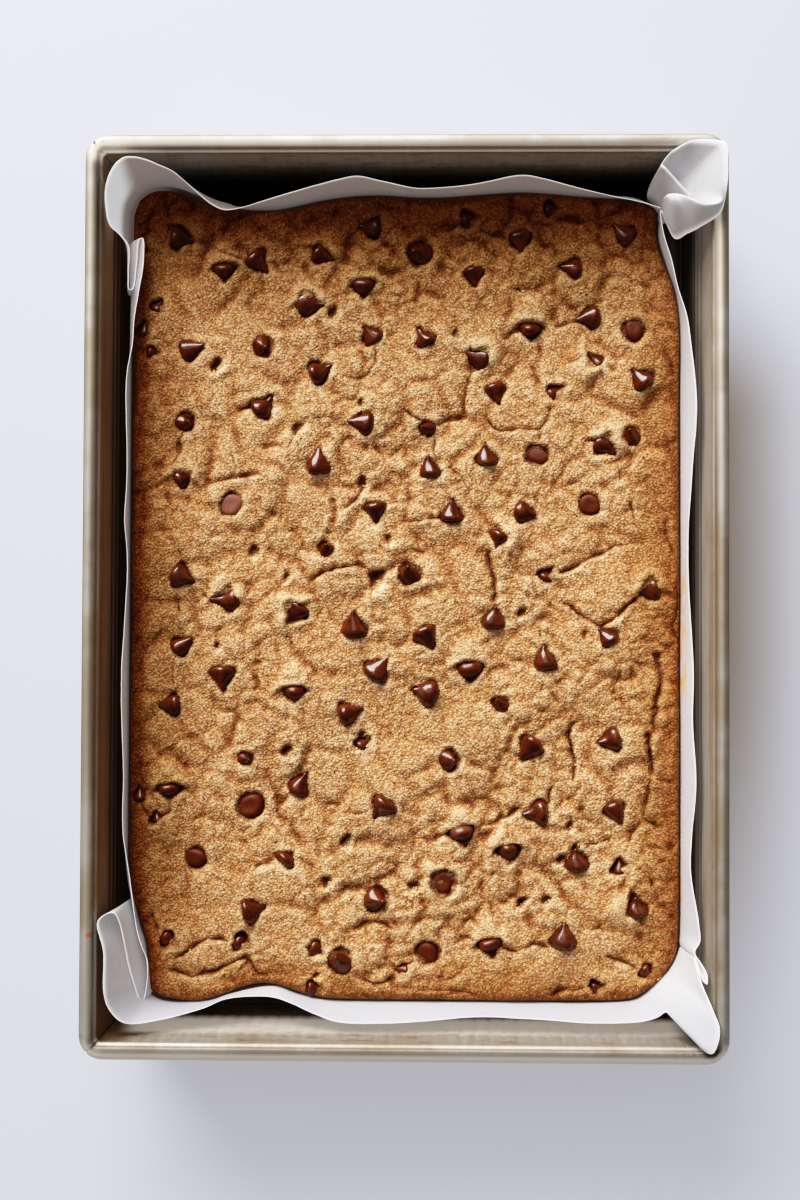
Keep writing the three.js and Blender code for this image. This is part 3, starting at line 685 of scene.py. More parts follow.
# Small pits where dough has torn: across, along and size.
PITS = [
    (-73.8, 90.2, 1.1), (-42.4, 64.7, 1), (-16.9, 75, 0.8), (-28.3, 110.2, 0.9), (-16.6, 44.3, 0.9),
    (-11, 6.3, 1.4), (-58.3, 17.4, 0.8), (-46.6, 7.7, 0.7), (-6.1, 22.2, 0.8), (-72.8, -18.9, 0.6),
    (45.9, -6, 1), (-16.8, -55.9, 1.1), (-45, -59.9, 1), (-22.5, -94.2, 0.8), (-29.6, -111, 0.9),
    (-33.6, -146.3, 0.7), (45.1, -118, 0.7), (54.4, -117.2, 0.8), (60.6, -101.3, 0.9),
    (3.3, -112.4, 0.9), (64, -87.7, 0.7), (43.5, 119.1, 0.5), (19.2, 102, 0.7), (76.4, 87.7, 0.4),
]
PIT_RADIUS = 2.3
PIT_DEPTH = 2.2

# One round hump by the right side.
HUMP_PLACE = (75.5, 3.5)
HUMP_RADIUS = 12
HUMP_RISE = 1.3

# The dough's lumps from broad to fine: how far apart they are and how far they rise.
BROAD_LUMP = 20
BROAD_RISE = 1.2
MIDDLE_LUMP = 8.5
MIDDLE_RISE = 0.68
SMALL_LUMP = 4.4
SMALL_RISE = 0.36
CRUMB_LUMP = 3.1
CRUMB_RISES = (0.1, 0.37)
# The share of a lump's rise that lies below the dough's own level.
LUMP_SUNK = 0.6
# Soft swells under the lumps.
SWELL_SIZE = 13
SWELL_RISE = 0.4

# A crease's cut, the lip on its lower right and the broad dip on its upper left, in
# depths of the crease.
CREASE_CUT = 0.68
CREASE_LIP = 0.12
CREASE_DIP = 0.22
# The distance where no crease is near, at which nothing of one shows.
NO_CREASE = 2


def line_offset(x, y, line):
    """From plan points to a line: how far, on which side, the step from its nearest
    point, and how near that point is to the line's ends."""
    nearest = np.full(x.shape, 1e9)
    side = np.zeros(x.shape)
    step_x = np.zeros(x.shape)
    step_y = np.zeros(x.shape)
    passed = np.zeros(x.shape)
    steps = [math.dist(start, end) for start, end in zip(line, line[1:])]
    walked = 0
    for (start, end), length in zip(zip(line, line[1:]), steps):
        run_x = (end[0] - start[0]) / length
        run_y = (end[1] - start[1]) / length
        along = np.clip((x - start[0]) * run_x + (y - start[1]) * run_y, 0, length)
        away_x = x - start[0] - along * run_x
        away_y = y - start[1] - along * run_y
        away = np.hypot(away_x, away_y)
        closer = away < nearest
        nearest = np.where(closer, away, nearest)
        side = np.where(closer, np.sign(run_x * away_y - run_y * away_x), side)
        step_x = np.where(closer, away_x, step_x)
        step_y = np.where(closer, away_y, step_y)
        passed = np.where(closer, walked + along, passed)
        walked += length
    from_end = np.minimum(passed, walked - passed)
    return nearest, side, step_x, step_y, smooth(0.3 + from_end / 3.5)


def dough_lumps(x, y):
    """The height that the dough's lumps add."""
    lumps = domes(x + 4 * layered(x, y, 24, 11), y + 4 * layered(x, y, 24, 17), BROAD_LUMP, 5, 0.42)
    fading = smooth(0.5 + 0.9 * layered(x, y, 40, 23))
    height = BROAD_RISE * (lumps - LUMP_SUNK) * mix(0.35, 1, fading)
    fading = smooth(0.6 + layered(x, y, 30, 41))
    height += MIDDLE_RISE * (domes(x, y, MIDDLE_LUMP, 37, 0.4) - LUMP_SUNK) * fading
    height += SWELL_RISE * layered(x, y, SWELL_SIZE, 43)
    fading = mix(0.3, 1, smooth(0.5 + rolling(x, y, 11, 45)))
    height += SMALL_RISE * (domes(x, y, SMALL_LUMP, 47, 0.5) - LUMP_SUNK) * fading
    crumbly = smooth(0.3 + 1.1 * layered(x, y, 26, 55) + 0.0016 * (x - y))
    height += mix(*CRUMB_RISES, crumbly) * (domes(x, y, CRUMB_LUMP, 59, 0.6) - LUMP_SUNK)
    hump_away = np.hypot(x - HUMP_PLACE[0], y - HUMP_PLACE[1])
    height += HUMP_RISE * smooth(1.35 - hump_away / HUMP_RADIUS)
    return height


def press_creases(x, y, wander_x, wander_y, height, torn):
    """Cuts the creases into the dough, and gives how far and on which side the nearest
    one lies, and how much painted shade it has."""
    crease_side = np.full(x.shape, float(NO_CREASE))
    crease_shade = np.zeros(x.shape)
    for depth, half_width, line in CREASES:
        line_x, line_y = np.array(line, float).T
        near = (x > line_x.min() - CREASE_REACH) & (x < line_x.max() + CREASE_REACH)
        near &= (y > line_y.min() - CREASE_REACH) & (y < line_y.max() + CREASE_REACH)
        near_x = x[near]
        near_y = y[near]
        away, side, step_x, step_y, middle = line_offset(wander_x[near], wander_y[near], line)
        sunward = (step_y - step_x) / (1.4 * np.maximum(away, 0.01))
        middle = middle * (0.6 + 0.4 * smooth(0.55 + 0.9 * rolling(near_x, near_y, 6.5, 69)))
        rise = -CREASE_CUT * depth * middle * bell(away, 1.05 * half_width)
        lip = bell(away - 2.2 * half_width, 1.5 * half_width) * middle
        rise += CREASE_LIP * depth * lip * smooth(0.5 - sunward)
        rise -= CREASE_DIP * depth * middle * smooth(0.4 + sunward) * bell(away, 4 * half_width)
        height[near] += rise
        # Pale torn crumb on the lip that faces the light, partly painted light.
        patchy = smooth(0.1 + 1.5 * layered(near_x, near_y, 4.5, 73, layers=2))
        opened = 0.8 * lip * patchy * smooth(0.2 - sunward) * min(1, depth / 1.5)
        torn[near] = np.maximum(torn[near], opened)
        shade = middle * min(1, 0.25 + depth / 2) * smooth(1.6 - away / 1.2)
        closest = away < np.abs(crease_side[near])
        crease_side[near] = np.where(closest, side * away, crease_side[near])
        crease_shade[near] = np.where(closest, shade, crease_shade[near])
    return crease_side, crease_shade


def tear_pits(x, y, wander_x, wander_y, height, torn):
    """Sinks the pits, each with one steep side in painted shade and one torn slope that
    faces the light, pale partly as painted light, and gives the painted shade."""
    cut = np.zeros(x.shape)
    for pit_x, pit_y, size in PITS:
        away_x = (wander_x - pit_x) / size
        away_y = (wander_y - pit_y) / size
        away = np.hypot(away_x, away_y * 0.9) / PIT_RADIUS + 0.4 * layered(x, y, 2.6, 63, layers=2)
        slope = smooth(0.5 + (away_x - away_y) / (3.2 * PIT_RADIUS))
        height -= PIT_DEPTH * size * smooth(1.6 - away) * mix(1, 0.35, slope)
        height += 0.4 * size * bell(away - 1.5, 0.7) * slope
        np.maximum(torn, smooth(2 - away) * smooth(slope * 1.6 - 0.4), out=torn)
        np.maximum(cut, smooth(1.3 - away) * smooth(1.2 - 1.8 * slope), out=cut)
    return cut


def dough_relief(x, y):
    """At plan points: height added to the slab's top, how torn and lit the dough is, the
    painted shade in its pits, how far and on which side the nearest crease lies, and
    its painted shade."""
    height = dough_lumps(x, y)
    torn = np.zeros(x.shape)
    wander_x = x + 0.6 * rolling(x, y, 4, 61) + 0.35 * rolling(x, y, 1.7, 62)
    wander_y = y + 0.6 * rolling(y, x, 4, 67) + 0.35 * rolling(y, x, 1.7, 68)
    crease_side, crease_shade = press_creases(x, y, wander_x, wander_y, height, torn)
    cut = tear_pits(x, y, wander_x, wander_y, height, torn)
    return height, torn, cut, crease_side, crease_shade


# The dough near a chip: how far round it the dough is shaped, how deep it dips, where
# its lip stands and how high.
MOAT_REACH = 14
MOAT_DEPTH = 1.2
SUNKEN_DEPTH = 2.6
LIP_GAP = 2.1
LIP_RISE = 0.25
# How far round a chip its flap may lie.
FLAP_REACH = 16


def chip_moats(x, y, height, torn):
    """The dough's dip where it meets each chip, the pale lip round the dip, and the painted
    shade where the dough meets the chip.
    """
    touched = np.zeros(x.shape)
    for chips, rise, _, _ in CHIP_KINDS:
        for chip in chips:
            near = np.hypot(x - chip[0], y - chip[1]) < MOAT_REACH
            near_x = x[near]
            near_y = y[near]
            away_x = near_x - chip[0]
            away_y = near_y - chip[1]
            gap = chip_gap(near_x, near_y, chip, rise)
            gap = gap + 0.7 * rolling(near_x, near_y, 3.6, 71) + 0.3 * rolling(near_x, near_y, 1.8, 72)
            side = (away_x - away_y) / (1.4 * np.maximum(np.hypot(away_x, away_y), 0.1))
            if rise == CUPPED_RISE:
                heading = math.radians(chip[2])
                tip_ward = away_x * math.cos(heading) + away_y * math.sin(heading)
                gap = np.maximum(gap, -tip_ward - 2.2)
            if rise == SUNKEN_RISE:
                dip = SUNKEN_DEPTH * smooth((0.6 - gap) / 1.3) * smooth(0.62 - 0.6 * side)
            else:
                dip = MOAT_DEPTH * smooth((0.6 - gap) / 1.3)
            bank = smooth(0.55 + 0.45 * side)
            height[near] += LIP_RISE * bell(gap - LIP_GAP, 1.3) * bank - dip
            patchy = smooth(0.3 + 1.2 * rolling(near_x, near_y, 3.4, 74))
            # Pale torn crumb on the bank that faces the light, partly painted light.
            pale = 0.6 * patchy * bell(gap - 1.4, 1.1) * smooth(side + 0.1)
            torn[near] = np.maximum(torn[near], pale)
            # Painted shade where the dough meets the chip, most on its upper left.
            dark = smooth((0.55 - gap) / 0.8) * mix(1, 0.45, smooth(side))
            touched[near] = np.maximum(touched[near], dark)
    close_flaps(x, y, height, touched)
    return touched


def close_flaps(x, y, height, touched):
    """Lays dough over one side of the chips that have a flap."""
    for flap_x, flap_y, direction, edge in FLAPS:
        near = np.hypot(x - flap_x, y - flap_y) < FLAP_REACH
        turn = math.radians(direction)
        away_x = x[near] - flap_x
        away_y = y[near] - flap_y
        across = away_y * math.cos(turn) - away_x * math.sin(turn)
        beyond = away_x * math.cos(turn) + away_y * math.sin(turn) - edge
        beyond = beyond + 0.5 * rolling(x[near], y[near], 3, 75) + 0.05 * across ** 2
        spread = smooth(1.5 - np.hypot(across / 7.5, beyond / 9))
        height[near] += FLAP_RISE * smooth(beyond / 1.5) * spread
        touched[near] = np.where(beyond > 0.9, touched[near] * 0.2, touched[near])


# Shares of the rounded edge's width that its plan lines lie at.
EDGE_SHARES = (0, 0.02, 0.07, 0.15, 0.27, 0.41, 0.55, 0.7, 0.85)
# The slab's sides, row by row: shares of the way down, and how far each row draws in.
SLAB_SIDE_ROWS = [(0.25, 0.15), (0.5, 0.3), (0.75, 0.45), (0.9, 0.6), (1, 2)]
# Baked browning with painted shade from the tin's walls: brownest at the top and the
# left, and least at the bottom. For the left, right, near and far side: how far in the
# full brown goes, where it ends and how strong it is, and the same for the darker rim.
BROWNING_AND_SHADE = [
    ((14, 34, 1), (3, 11, 1)),
    ((11, 25, 1), (2, 13, 0.6)),
    ((5, 19, 1), (1, 10, 0.6)),
    ((22, 62, 1), (7, 34, 0.9)),
]


def plan_lines(half):
    """Plan lines across one size: close by the rounded edge, even in the middle."""
    edge = [SLAB_EDGE * share for share in EDGE_SHARES]
    inner = half - SLAB_EDGE
    cells = round(2 * inner / SLAB_GRID)
    middle = np.linspace(-inner, inner, cells + 1)
    start = [-half + inset for inset in edge]
    end = [half - inset for inset in reversed(edge)]
    return np.concatenate([start, middle, end])


def browning_and_shade(flat_x, flat_y, x, y):
    """How brown the dough is and how dark at its rim, 0 to 1, with painted wall shade."""
    uneven = 6 * layered(x, y, 22, 73) + 2.5 * layered(x, y, 6, 79)
    gaps = [SLAB_HALF_WIDTH + flat_x, SLAB_HALF_WIDTH - flat_x,
            SLAB_HALF_LENGTH + flat_y, SLAB_HALF_LENGTH - flat_y]
    browned = np.zeros(x.shape)
    burnt = np.zeros(x.shape)
    for gap, (broad, narrow) in zip(gaps, BROWNING_AND_SHADE):
        full, end, most = broad
        browned = np.maximum(browned, most * smooth((end - gap - uneven) / (end - full)))
        full, end, most = narrow
        burnt = np.maximum(burnt, most * smooth((end - gap - 0.35 * uneven) / (end - full)))
    return browned, burnt


def close_slab(top, rim, faces, values):
    """Takes the sides down in uneven rows that draw in at the foot, closes them under
    the slab, and gives all points."""
    top_loop = top[rim]
    on_sides = {"browned": 1, "burnt": 1, "crease_side": NO_CREASE}
    blocks = [top]
    total = len(top)
    upper = rim
    for depth_share, draw_in in SLAB_SIDE_ROWS:
        level = mix(top_loop[:, 2], SLAB_BOTTOM, depth_share)
        ripple = 0.25 * layered(top_loop[:, 0] + 3 * level, top_loop[:, 1] - 3 * level, 5, 83)
        inward = draw_in + ripple * (depth_share < 1)
        loop_x = top_loop[:, 0] * (1 - inward / SLAB_HALF_WIDTH)
        loop_y = top_loop[:, 1] * (1 - inward / SLAB_HALF_LENGTH)
        blocks.append(np.stack([loop_x, loop_y, level], axis=-1))
        lower = list(range(total, total + len(upper)))
        total += len(upper)
        for here in range(len(upper)):
            ahead = (here + 1) % len(upper)
            faces.append((upper[here], lower[here], lower[ahead], upper[ahead]))
        upper = lower
        for key in values:
            values[key] += [on_sides.get(key, 0)] * len(lower)
    blocks.append(np.array([[0, 0, SLAB_BOTTOM]]))
    for here in range(len(upper)):
        faces.append((total, upper[(here + 1) % len(upper)], upper[here]))
    for key in values:
        values[key].append(0)
    return np.concatenate(blocks)


def make_slab(material):
    lines_x = plan_lines(SLAB_HALF_WIDTH)
    lines_y = plan_lines(SLAB_HALF_LENGTH)
    flat_x, flat_y = np.meshgrid(lines_x, lines_y)
    inset = np.minimum(SLAB_HALF_WIDTH - np.abs(flat_x), SLAB_HALF_LENGTH - np.abs(flat_y))
    rolled = np.minimum(inset, SLAB_EDGE)
    fall = SLAB_EDGE - np.sqrt(SLAB_EDGE ** 2 - (SLAB_EDGE - rolled) ** 2)
    plan_x, plan_y = round_plan(flat_x, flat_y, SLAB_HALF_WIDTH, SLAB_HALF_LENGTH, SLAB_CORNER)
    x, y = warp(plan_x, plan_y)
    relief, torn, cut, crease_side, crease_shade = dough_relief(x, y)
    touched = chip_moats(x, y, relief, torn)
    rim_hold = smooth(inset / 3.5)
    z = slab_level(plan_x, plan_y) - fall + relief * mix(0.25, 1, rim_hold)
    hollow = np.clip((blurred(z + fall, 3) - z - fall) / 0.9, -1, 1)
    broad_hollow = np.clip((blurred(z + fall, 9) - z - fall) / 1.6, -1, 1)
    browned, burnt = browning_and_shade(flat_x, flat_y, x, y)
    fields = {
        "browned": browned, "burnt": burnt, "hollow": hollow, "broad_hollow": broad_hollow,
        "torn": np.clip(torn, 0, 1), "cut": np.clip(cut, 0, 1), "crease_side": crease_side,
        "crease_shade": crease_shade, "touched": touched}
    values = {key: field.ravel().tolist() for key, field in fields.items()}

    rows, columns = x.shape
    faces = grid_faces(rows, columns)
    rim = [(0, i) for i in range(columns)]
    rim += [(j, columns - 1) for j in range(1, rows)]
    rim += [(rows - 1, i) for i in range(columns - 2, -1, -1)]
    rim += [(j, 0) for j in range(rows - 2, 0, -1)]
    top = np.stack([x, y, z], axis=-1).reshape(-1, 3)
    points = close_slab(top, [j * columns + i for j, i in rim], faces, values)
    return make_piece("slab", points, faces, values, material)


def cookie_finish():
    dough = Finish("baked_dough")
    browned = dough.value("browned")
    hollow = dough.value("hollow")
    broad_hollow = dough.value("broad_hollow")
    torn = dough.value("torn")
    crease_shade = dough.value("crease_shade")
    patches = dough.noise(11, detail=3, roughness=0.6)
    specks = dough.noise(3.2, detail=3, roughness=0.65)
    fine = dough.noise(0.6, detail=3, roughness=0.65)
    grain = dough.grains(0.86, place=dough.swayed(0.8, 0.75))
    tint = dough.node("ShaderNodeSeparateColor", {}, {"Color": grain.out("Color")})
    between = grain.step_up(0.3, 0.64)

    gold = srgb(226, 177, 124)
    amber = srgb(212, 153, 96)
    cream = srgb(246, 217, 178)
    torn_cream = srgb(246, 222, 186)
    shade_brown = srgb(150, 96, 56)
    deep = srgb(58, 26, 10)
    crust_shade = srgb(218, 207, 184)
    char_shade = srgb(208, 166, 124)
    hollow_shade = srgb(180, 152, 128)

    colour = dough.blend((patches * 0.7 + specks * 0.5 - 0.1).step_up(0.3, 0.72), amber, gold)
    # Paler grains at random, and paler on the crowns than in hollows, which is painted light.
    paler = (tint * 0.7 + fine * 0.6 - hollow * 0.35 - broad_hollow * 0.1).step_up(0.45, 1.0)
    colour = dough.blend(paler * 0.58, colour, cream)
    # Painted shade between the grains and in hollows, with some grains darker of their own.
    crevice = between * (0.4 + 0.55 * specks) + (0.3 - tint).at_least(0.0) + hollow * 0.35
    colour = dough.blend(crevice.at_most(0.8).at_least(0.0), colour, shade_brown)
    # Pale torn crumb, laid where the dough faces the light, so partly painted light.
    colour = dough.blend((torn * (0.2 + 0.8 * fine)).at_most(0.7), colour, torn_cream)
    # The baked crust and its darker rim, with painted shade from the tin's walls in them.
    uneven = 0.75 + 0.5 * patches
    crust_and_shade = (browned * uneven).at_most(1.0)
    colour = dough.blend(crust_and_shade, colour, crust_shade, "MULTIPLY")
    char_and_shade = (dough.value("burnt") * uneven).at_most(1.0)
    colour = dough.blend(char_and_shade, colour, char_shade, "MULTIPLY")
    # Painted shade in the hollows, laid over so that the grain still shows.
    shut_in = (hollow * 0.72 + broad_hollow * 0.5).step_up(0.15, 1.0)
    colour = dough.blend(shut_in * 0.9, colour, hollow_shade, "MULTIPLY")
    # Painted shade on the pits' steep sides.
    colour = dough.blend(dough.value("cut") * 0.95, colour, deep)
    # Painted shade in a crease: a thin dark line with a soft brown one round it.
    beside = abs(dough.value("crease_side")) / (0.45 + 0.55 * crease_shade)
    broken = 0.55 + 0.6 * specks
    line = (1 - beside.step_up(0.15, 0.62)) * crease_shade * broken
    colour = dough.blend((1 - beside.step_up(0.2, 1.7)) * crease_shade * 0.5, colour, shade_brown)
    colour = dough.blend(line.at_most(0.92), colour, deep)
    # Painted shade where the dough meets a chip.
    colour = dough.blend(dough.value("touched") * 0.7, colour, deep)
    # Painted shade in small pores.
    pores = dough.grains(4.6)
    colour = dough.blend((1 - pores.step_up(0.06, 0.12)) * 0.8, colour, deep)

    rough = grain * -0.8 + fine * 0.5 + tint * 0.25
    bump = dough.bump(rough, 0.5)
    roughness = 0.66 - 0.16 * dough.noise(14, detail=1).step_up(0.45, 0.8) + 0.1 * torn
    return dough.surface(Base_Color=colour, Roughness=roughness, Normal=bump, Specular_IOR_Level=0.35)


# Chips, grown from points that carry each one's turn, size and dullness.

# A drop's outline at shares of its length, from the middle of its base to its tip:
# its radius and its height.
DROP_RADII = [(0, 0), (0.13, 0.52), (0.2, 0.75), (0.27, 0.9), (0.34, 0.99), (0.42, 0.99),
              (0.5, 0.9), (0.58, 0.75), (0.66, 0.57), (0.74, 0.4), (0.82, 0.26), (0.9, 0.17),
              (0.96, 0.11), (1, 0)]
DROP_HEIGHTS = [(0, 0.01), (0.13, 0.0), (0.2, 0.025), (0.27, 0.09), (0.34, 0.17), (0.42, 0.27),
                (0.5, 0.37), (0.58, 0.48), (0.66, 0.6), (0.74, 0.71), (0.82, 0.82), (0.9, 0.92),
                (0.96, 0.975), (1, 1)]
# The least that a chip is wide one way, as a share of the other.
LEAST_FLATNESS = 0.86
LEAST_DISC_FLATNESS = 0.76


def chip_points():
    """One point for each chip, with its turn, size and dullness."""
    places = []
    turns = []
    scales = []
    dullness = []
    for kind, (chips, rise, lift, dull) in enumerate(CHIP_KINDS):
        for number, (x, y, heading, size) in enumerate(chips):
            turn = math.radians(heading)
            rocked = ROCKING * math.sin(5.3 * number + kind) if kind < ROCKED_KINDS else 0
            climb = math.radians(rise + rocked)
            tip = Vector((math.cos(turn) * math.cos(climb), math.sin(turn) * math.cos(climb),
                          math.sin(climb)))
            spin = Matrix.Rotation(2.4 * number, 4, "Z")
            pose = tip.to_track_quat("Z", "Y").to_matrix().to_4x4() @ spin
            places.append((x, y, slab_level(x, y) + lift * CHIP_RADIUS * size))
            turns.append(tuple(pose.to_euler()))
            least = LEAST_DISC_FLATNESS if rise == DISC_RISE else LEAST_FLATNESS
            flatter = least + (1 - least) * math.sin(3.1 * number + 2 * kind) ** 2
            longer = 1 + 0.1 * math.sin(1.7 * number + kind)
            scales.append((size, size * flatter, size * longer))
            dullness.append(dull)
    points = make_piece("chips", places, [], {"dull": dullness})
    for key, vectors in (("turn", turns), ("scale", scales)):
        layer = points.data.attributes.new(key, "FLOAT_VECTOR", "POINT")
        layer.data.foreach_set("vector", np.array(vectors, np.float32).ravel())
    return points


def make_chips(material):
    points = chip_points()
    tree = Growth("grow_chips", {
        "Chip Radius": CHIP_RADIUS * MM, "Chip Height": CHIP_HEIGHT * MM,
        "Middle": CHIP_MIDDLE, "Tip Curl": 2 * MM, "Slump": 0.6 * MM})
    ball = tree.node("GeometryNodeMeshUVSphere", {}, {"Segments": 30, "Rings": 20, "Radius": 1.0})
    x, y, z = tree.node("GeometryNodeInputPosition").parts()
    share = 1 - z.at_most(1.0).at_least(-1.0).apply("ARCCOSINE") / math.pi
    girth = (1 - z * z).at_least(1e-8).apply("SQRT")
    radius = tree.node("ShaderNodeFloatCurve", {"curve": DROP_RADII}, {"Value": share})
    height = tree.node("ShaderNodeFloatCurve", {"curve": DROP_HEIGHTS}, {"Value": share})
    reach = radius * tree.given("Chip Radius") / girth
    drop = tree.move(ball, position=tree.vector(
        x * reach, y * reach, (height - tree.given("Middle")) * tree.given("Chip Height")))
    drop = tree.store(drop, "tip", height)
    drops = tree.node("GeometryNodeInstanceOnPoints", {}, {
        "Points": tree.given("Geometry"), "Instance": drop,
        "Rotation": tree.named("turn", "FLOAT_VECTOR"), "Scale": tree.named("scale", "FLOAT_VECTOR")})
    real = tree.node("GeometryNodeRealizeInstances", {}, {"Geometry": drops})
    # The tips curl most, each its own way.
    tip = tree.named("tip")
    strength = tree.given("Slump") + tip * tip * tree.given("Tip Curl")
    leaned = tree.move(real, offset=tree.sway(140.0, strength * 2.0))
    return tree.grow(points, leaned, material)


def chocolate_finish():
    chocolate = Finish("dark_chocolate")
    dull = chocolate.value("dull")
    clouds = chocolate.noise(3.2, detail=2)
    dust = chocolate.noise(0.7, detail=2, roughness=0.6)
    dark = srgb(76, 32, 11)
    brown = srgb(102, 47, 19)
    matt = srgb(98, 44, 17)
    bloomed_base = srgb(150, 104, 90)
    bloomed_spot = srgb(150, 112, 98)
    colour = chocolate.blend(clouds.step_up(0.35, 0.7), dark, brown)
    colour = chocolate.blend((dull * 0.8).at_most(0.8), colour, matt)
    pale = chocolate.noise(0.9, detail=2, place=chocolate.stretched(1, 0.4, 1))
    colour = chocolate.blend((dull - 1).at_least(0.0) * (0.6 + 0.7 * pale), colour, bloomed_base)
    bloom = chocolate.noise(16, detail=1).step_up(0.64, 0.72)
    colour = chocolate.blend(bloom * 0.35 * dust, colour, bloomed_spot)
    roughness = 0.18 + 0.3 * dull + 0.1 * dust
    bump = chocolate.bump(clouds, 0.5, strength=0.35)
    return chocolate.surface(Base_Color=colour, Roughness=roughness, Normal=bump,
                             Specular_IOR_Level=0.32, Coat_Weight=(1 - dull).at_least(0.0) * 0.5,
                             Coat_Roughness=0.1)


# The parchment's cut edge as runs of points, clockwise from the left end of the
# top side. A run is one layer of the folded paper and has its own gap from the
# slab. A point may carry the crest that the paper rises over and the foot it
# rises from, where it doesn't go straight up from the slab's side.

PAPER_RUNS = [
    (0.6, [
        (-65.8, 149.3, 34), (-52.2, 153.1, 35), (-34.9, 157.3, 38), (-26.2, 159.3, 39),
        (-18.6, 160.2, 40), (-9.3, 158.8, 38), (3.9, 156.6, 36), (15, 157, 36),
        (26.1, 157.9, 37), (43.9, 160.7, 39), (53.1, 159.5, 38), (66.3, 156.8, 35),
        (79.1, 154.2, 33), (88, 152.4, 33), (96, 149.8, 34), (101, 146.5, 37)]),
    (1.1, [
        (108.5, 144.6, 45), (110.2, 145.6, 48), (107.3, 148.7, 50), (101.6, 154.2, 52),
        (95.9, 159.7, 54)]),
    (1.6, [
        (95.2, 160.8, 53, (92.3, 156, 40)), (98.1, 164.4, 56), (101.2, 165.7, 60),
        (105.6, 167.1, 62), (113.4, 165.9, 66), (116.3, 164.5, 67.5), (117.1, 156.1, 67.5),
        (117, 149, 66), (116.8, 145, 62, (110, 143.5, 57)),
        (115.8, 141.2, 58, (106.6, 144.9, 58), (98.9, 148.1)),
        (109.4, 137.5, 52, (103.9, 147.3, 58), (98.6, 147.8)),
        (105.7, 136.6, 46, (100.6, 149.3, 54), (98.2, 147.5)),
        (101.9, 136.1, 40, (97.4, 148.8, 52.8), (97.8, 147))]),
    (0.6, [
        (96.8, 147.3, 38), (98.3, 140.2, 34), (101.4, 129.7, 34), (103.7, 118.7, 35),
        (106.7, 107, 38), (107.9, 96.3, 40), (109.5, 78.9, 42), (109.8, 70.6, 42),
        (108.6, 48.2, 39), (107.4, 26, 37), (107.4, 7.4, 37), (109, -28.9, 39),
        (108.6, -45.9, 39), (109.6, -70.6, 41), (108.4, -91.6, 38), (108, -102.8, 38),
        (110.5, -122.8, 42), (110.9, -129.1, 42), (109, -132.9, 42)]),
    (1.6, [(110.6, -136.2, 46), (112.4, -140, 49), (112.2, -143.3, 50)]),
    (1.1, [(110.2, -139, 47), (108.9, -135, 43)]),
    (0.6, [
        (110.4, -143.3, 50), (113.4, -151.2, 55), (115.1, -156.9, 60), (114.2, -162.2, 62),
        (112, -165.9, 62), (102.5, -159.1, 48), (98.4, -155.1, 43), (95.2, -157.2, 42),
        (88.6, -159.3, 41), (70.3, -159.9, 41), (53.5, -159.1, 40), (26.9, -158.4, 39),
        (6.2, -160.1, 40), (-8.1, -160.9, 40), (-24.7, -160.5, 40), (-33.6, -158, 38),
        (-42.1, -154.8, 36), (-51.1, -152.8, 33), (-67.7, -153.3, 35), (-75.7, -156.1, 38)]),
    (1.6, [
        (-92.1, -159.9, 42), (-103, -160.5, 46), (-106.8, -158.3, 48), (-110.2, -153, 50),
        (-111.2, -146.7, 52), (-110.9, -132.3, 54), (-112.6, -120.5, 56)]),
    (1.1, [(-107.7, -118.2, 52), (-103.5, -142.4, 40), (-100.8, -154.4, 33)]),
    (0.6, [
        (-100, -155, 31), (-97.9, -140.1, 34), (-100, -132.9, 36), (-101.7, -127.2, 36),
        (-104.7, -105.9, 37), (-107.1, -88.7, 38), (-106.9, -68.2, 38), (-107.7, -34, 40),
        (-106.4, 12.5, 36), (-107.2, 29.6, 38), (-106.4, 48, 38), (-106.9, 83.6, 38),
        (-105.1, 97, 36), (-104.5, 105.9, 36), (-102.7, 117.4, 36), (-101.2, 126.3, 36),
        (-101.4, 137.5, 36)]),
    (1.1, [(-102.6, 137, 36), (-103.8, 128, 35), (-105.6, 118.2, 34)]),
    (1.6, [
        (-106.8, 118.2, 34), (-106.6, 124, 37), (-106.3, 133.9, 40), (-109.6, 137.8, 42),
        (-112.5, 140.5, 45), (-113.5, 150.1, 49), (-112.2, 155.1, 52), (-109, 160.8, 54),
        (-105.4, 163.3, 55), (-101.6, 163.5, 55), (-97, 162.7, 54), (-92.7, 161.3, 52),
        (-88.2, 159.9, 49), (-83.9, 157, 45), (-79.5, 153.4, 42), (-75.2, 150.2, 39),
        (-70.6, 148.5, 36)]),
]
PAPER_STEP = 0.95
# The levels of the sheet's rows beside the slab, from its shoulder down, and how far
# in from the shoulder they lie.
PAPER_SIDE_LEVELS = [17, 10, 5]
PAPER_SIDE_INSET = 0.4
# Its rows on the floor, from the middle out: how far in and how high above the floor.
PAPER_FLOOR_ROWS = [(4, 0), (1.6, 0), (0.8, 0.7)]


def rounded_loop(half_width, half_length, radius, steps):
    """A rectangle with rounded corners, anticlockwise from above."""
    loop = []
    for sign_x, sign_y, quarter in [(1, 1, 0), (-1, 1, 1), (-1, -1, 2), (1, -1, 3)]:
        for step in range(steps + 1):
            angle = (quarter + step / steps) * math.pi / 2
            loop.append((sign_x * (half_width - radius) + radius * math.cos(angle),
                         sign_y * (half_length - radius) + radius * math.sin(angle)))
    return np.array(loop)


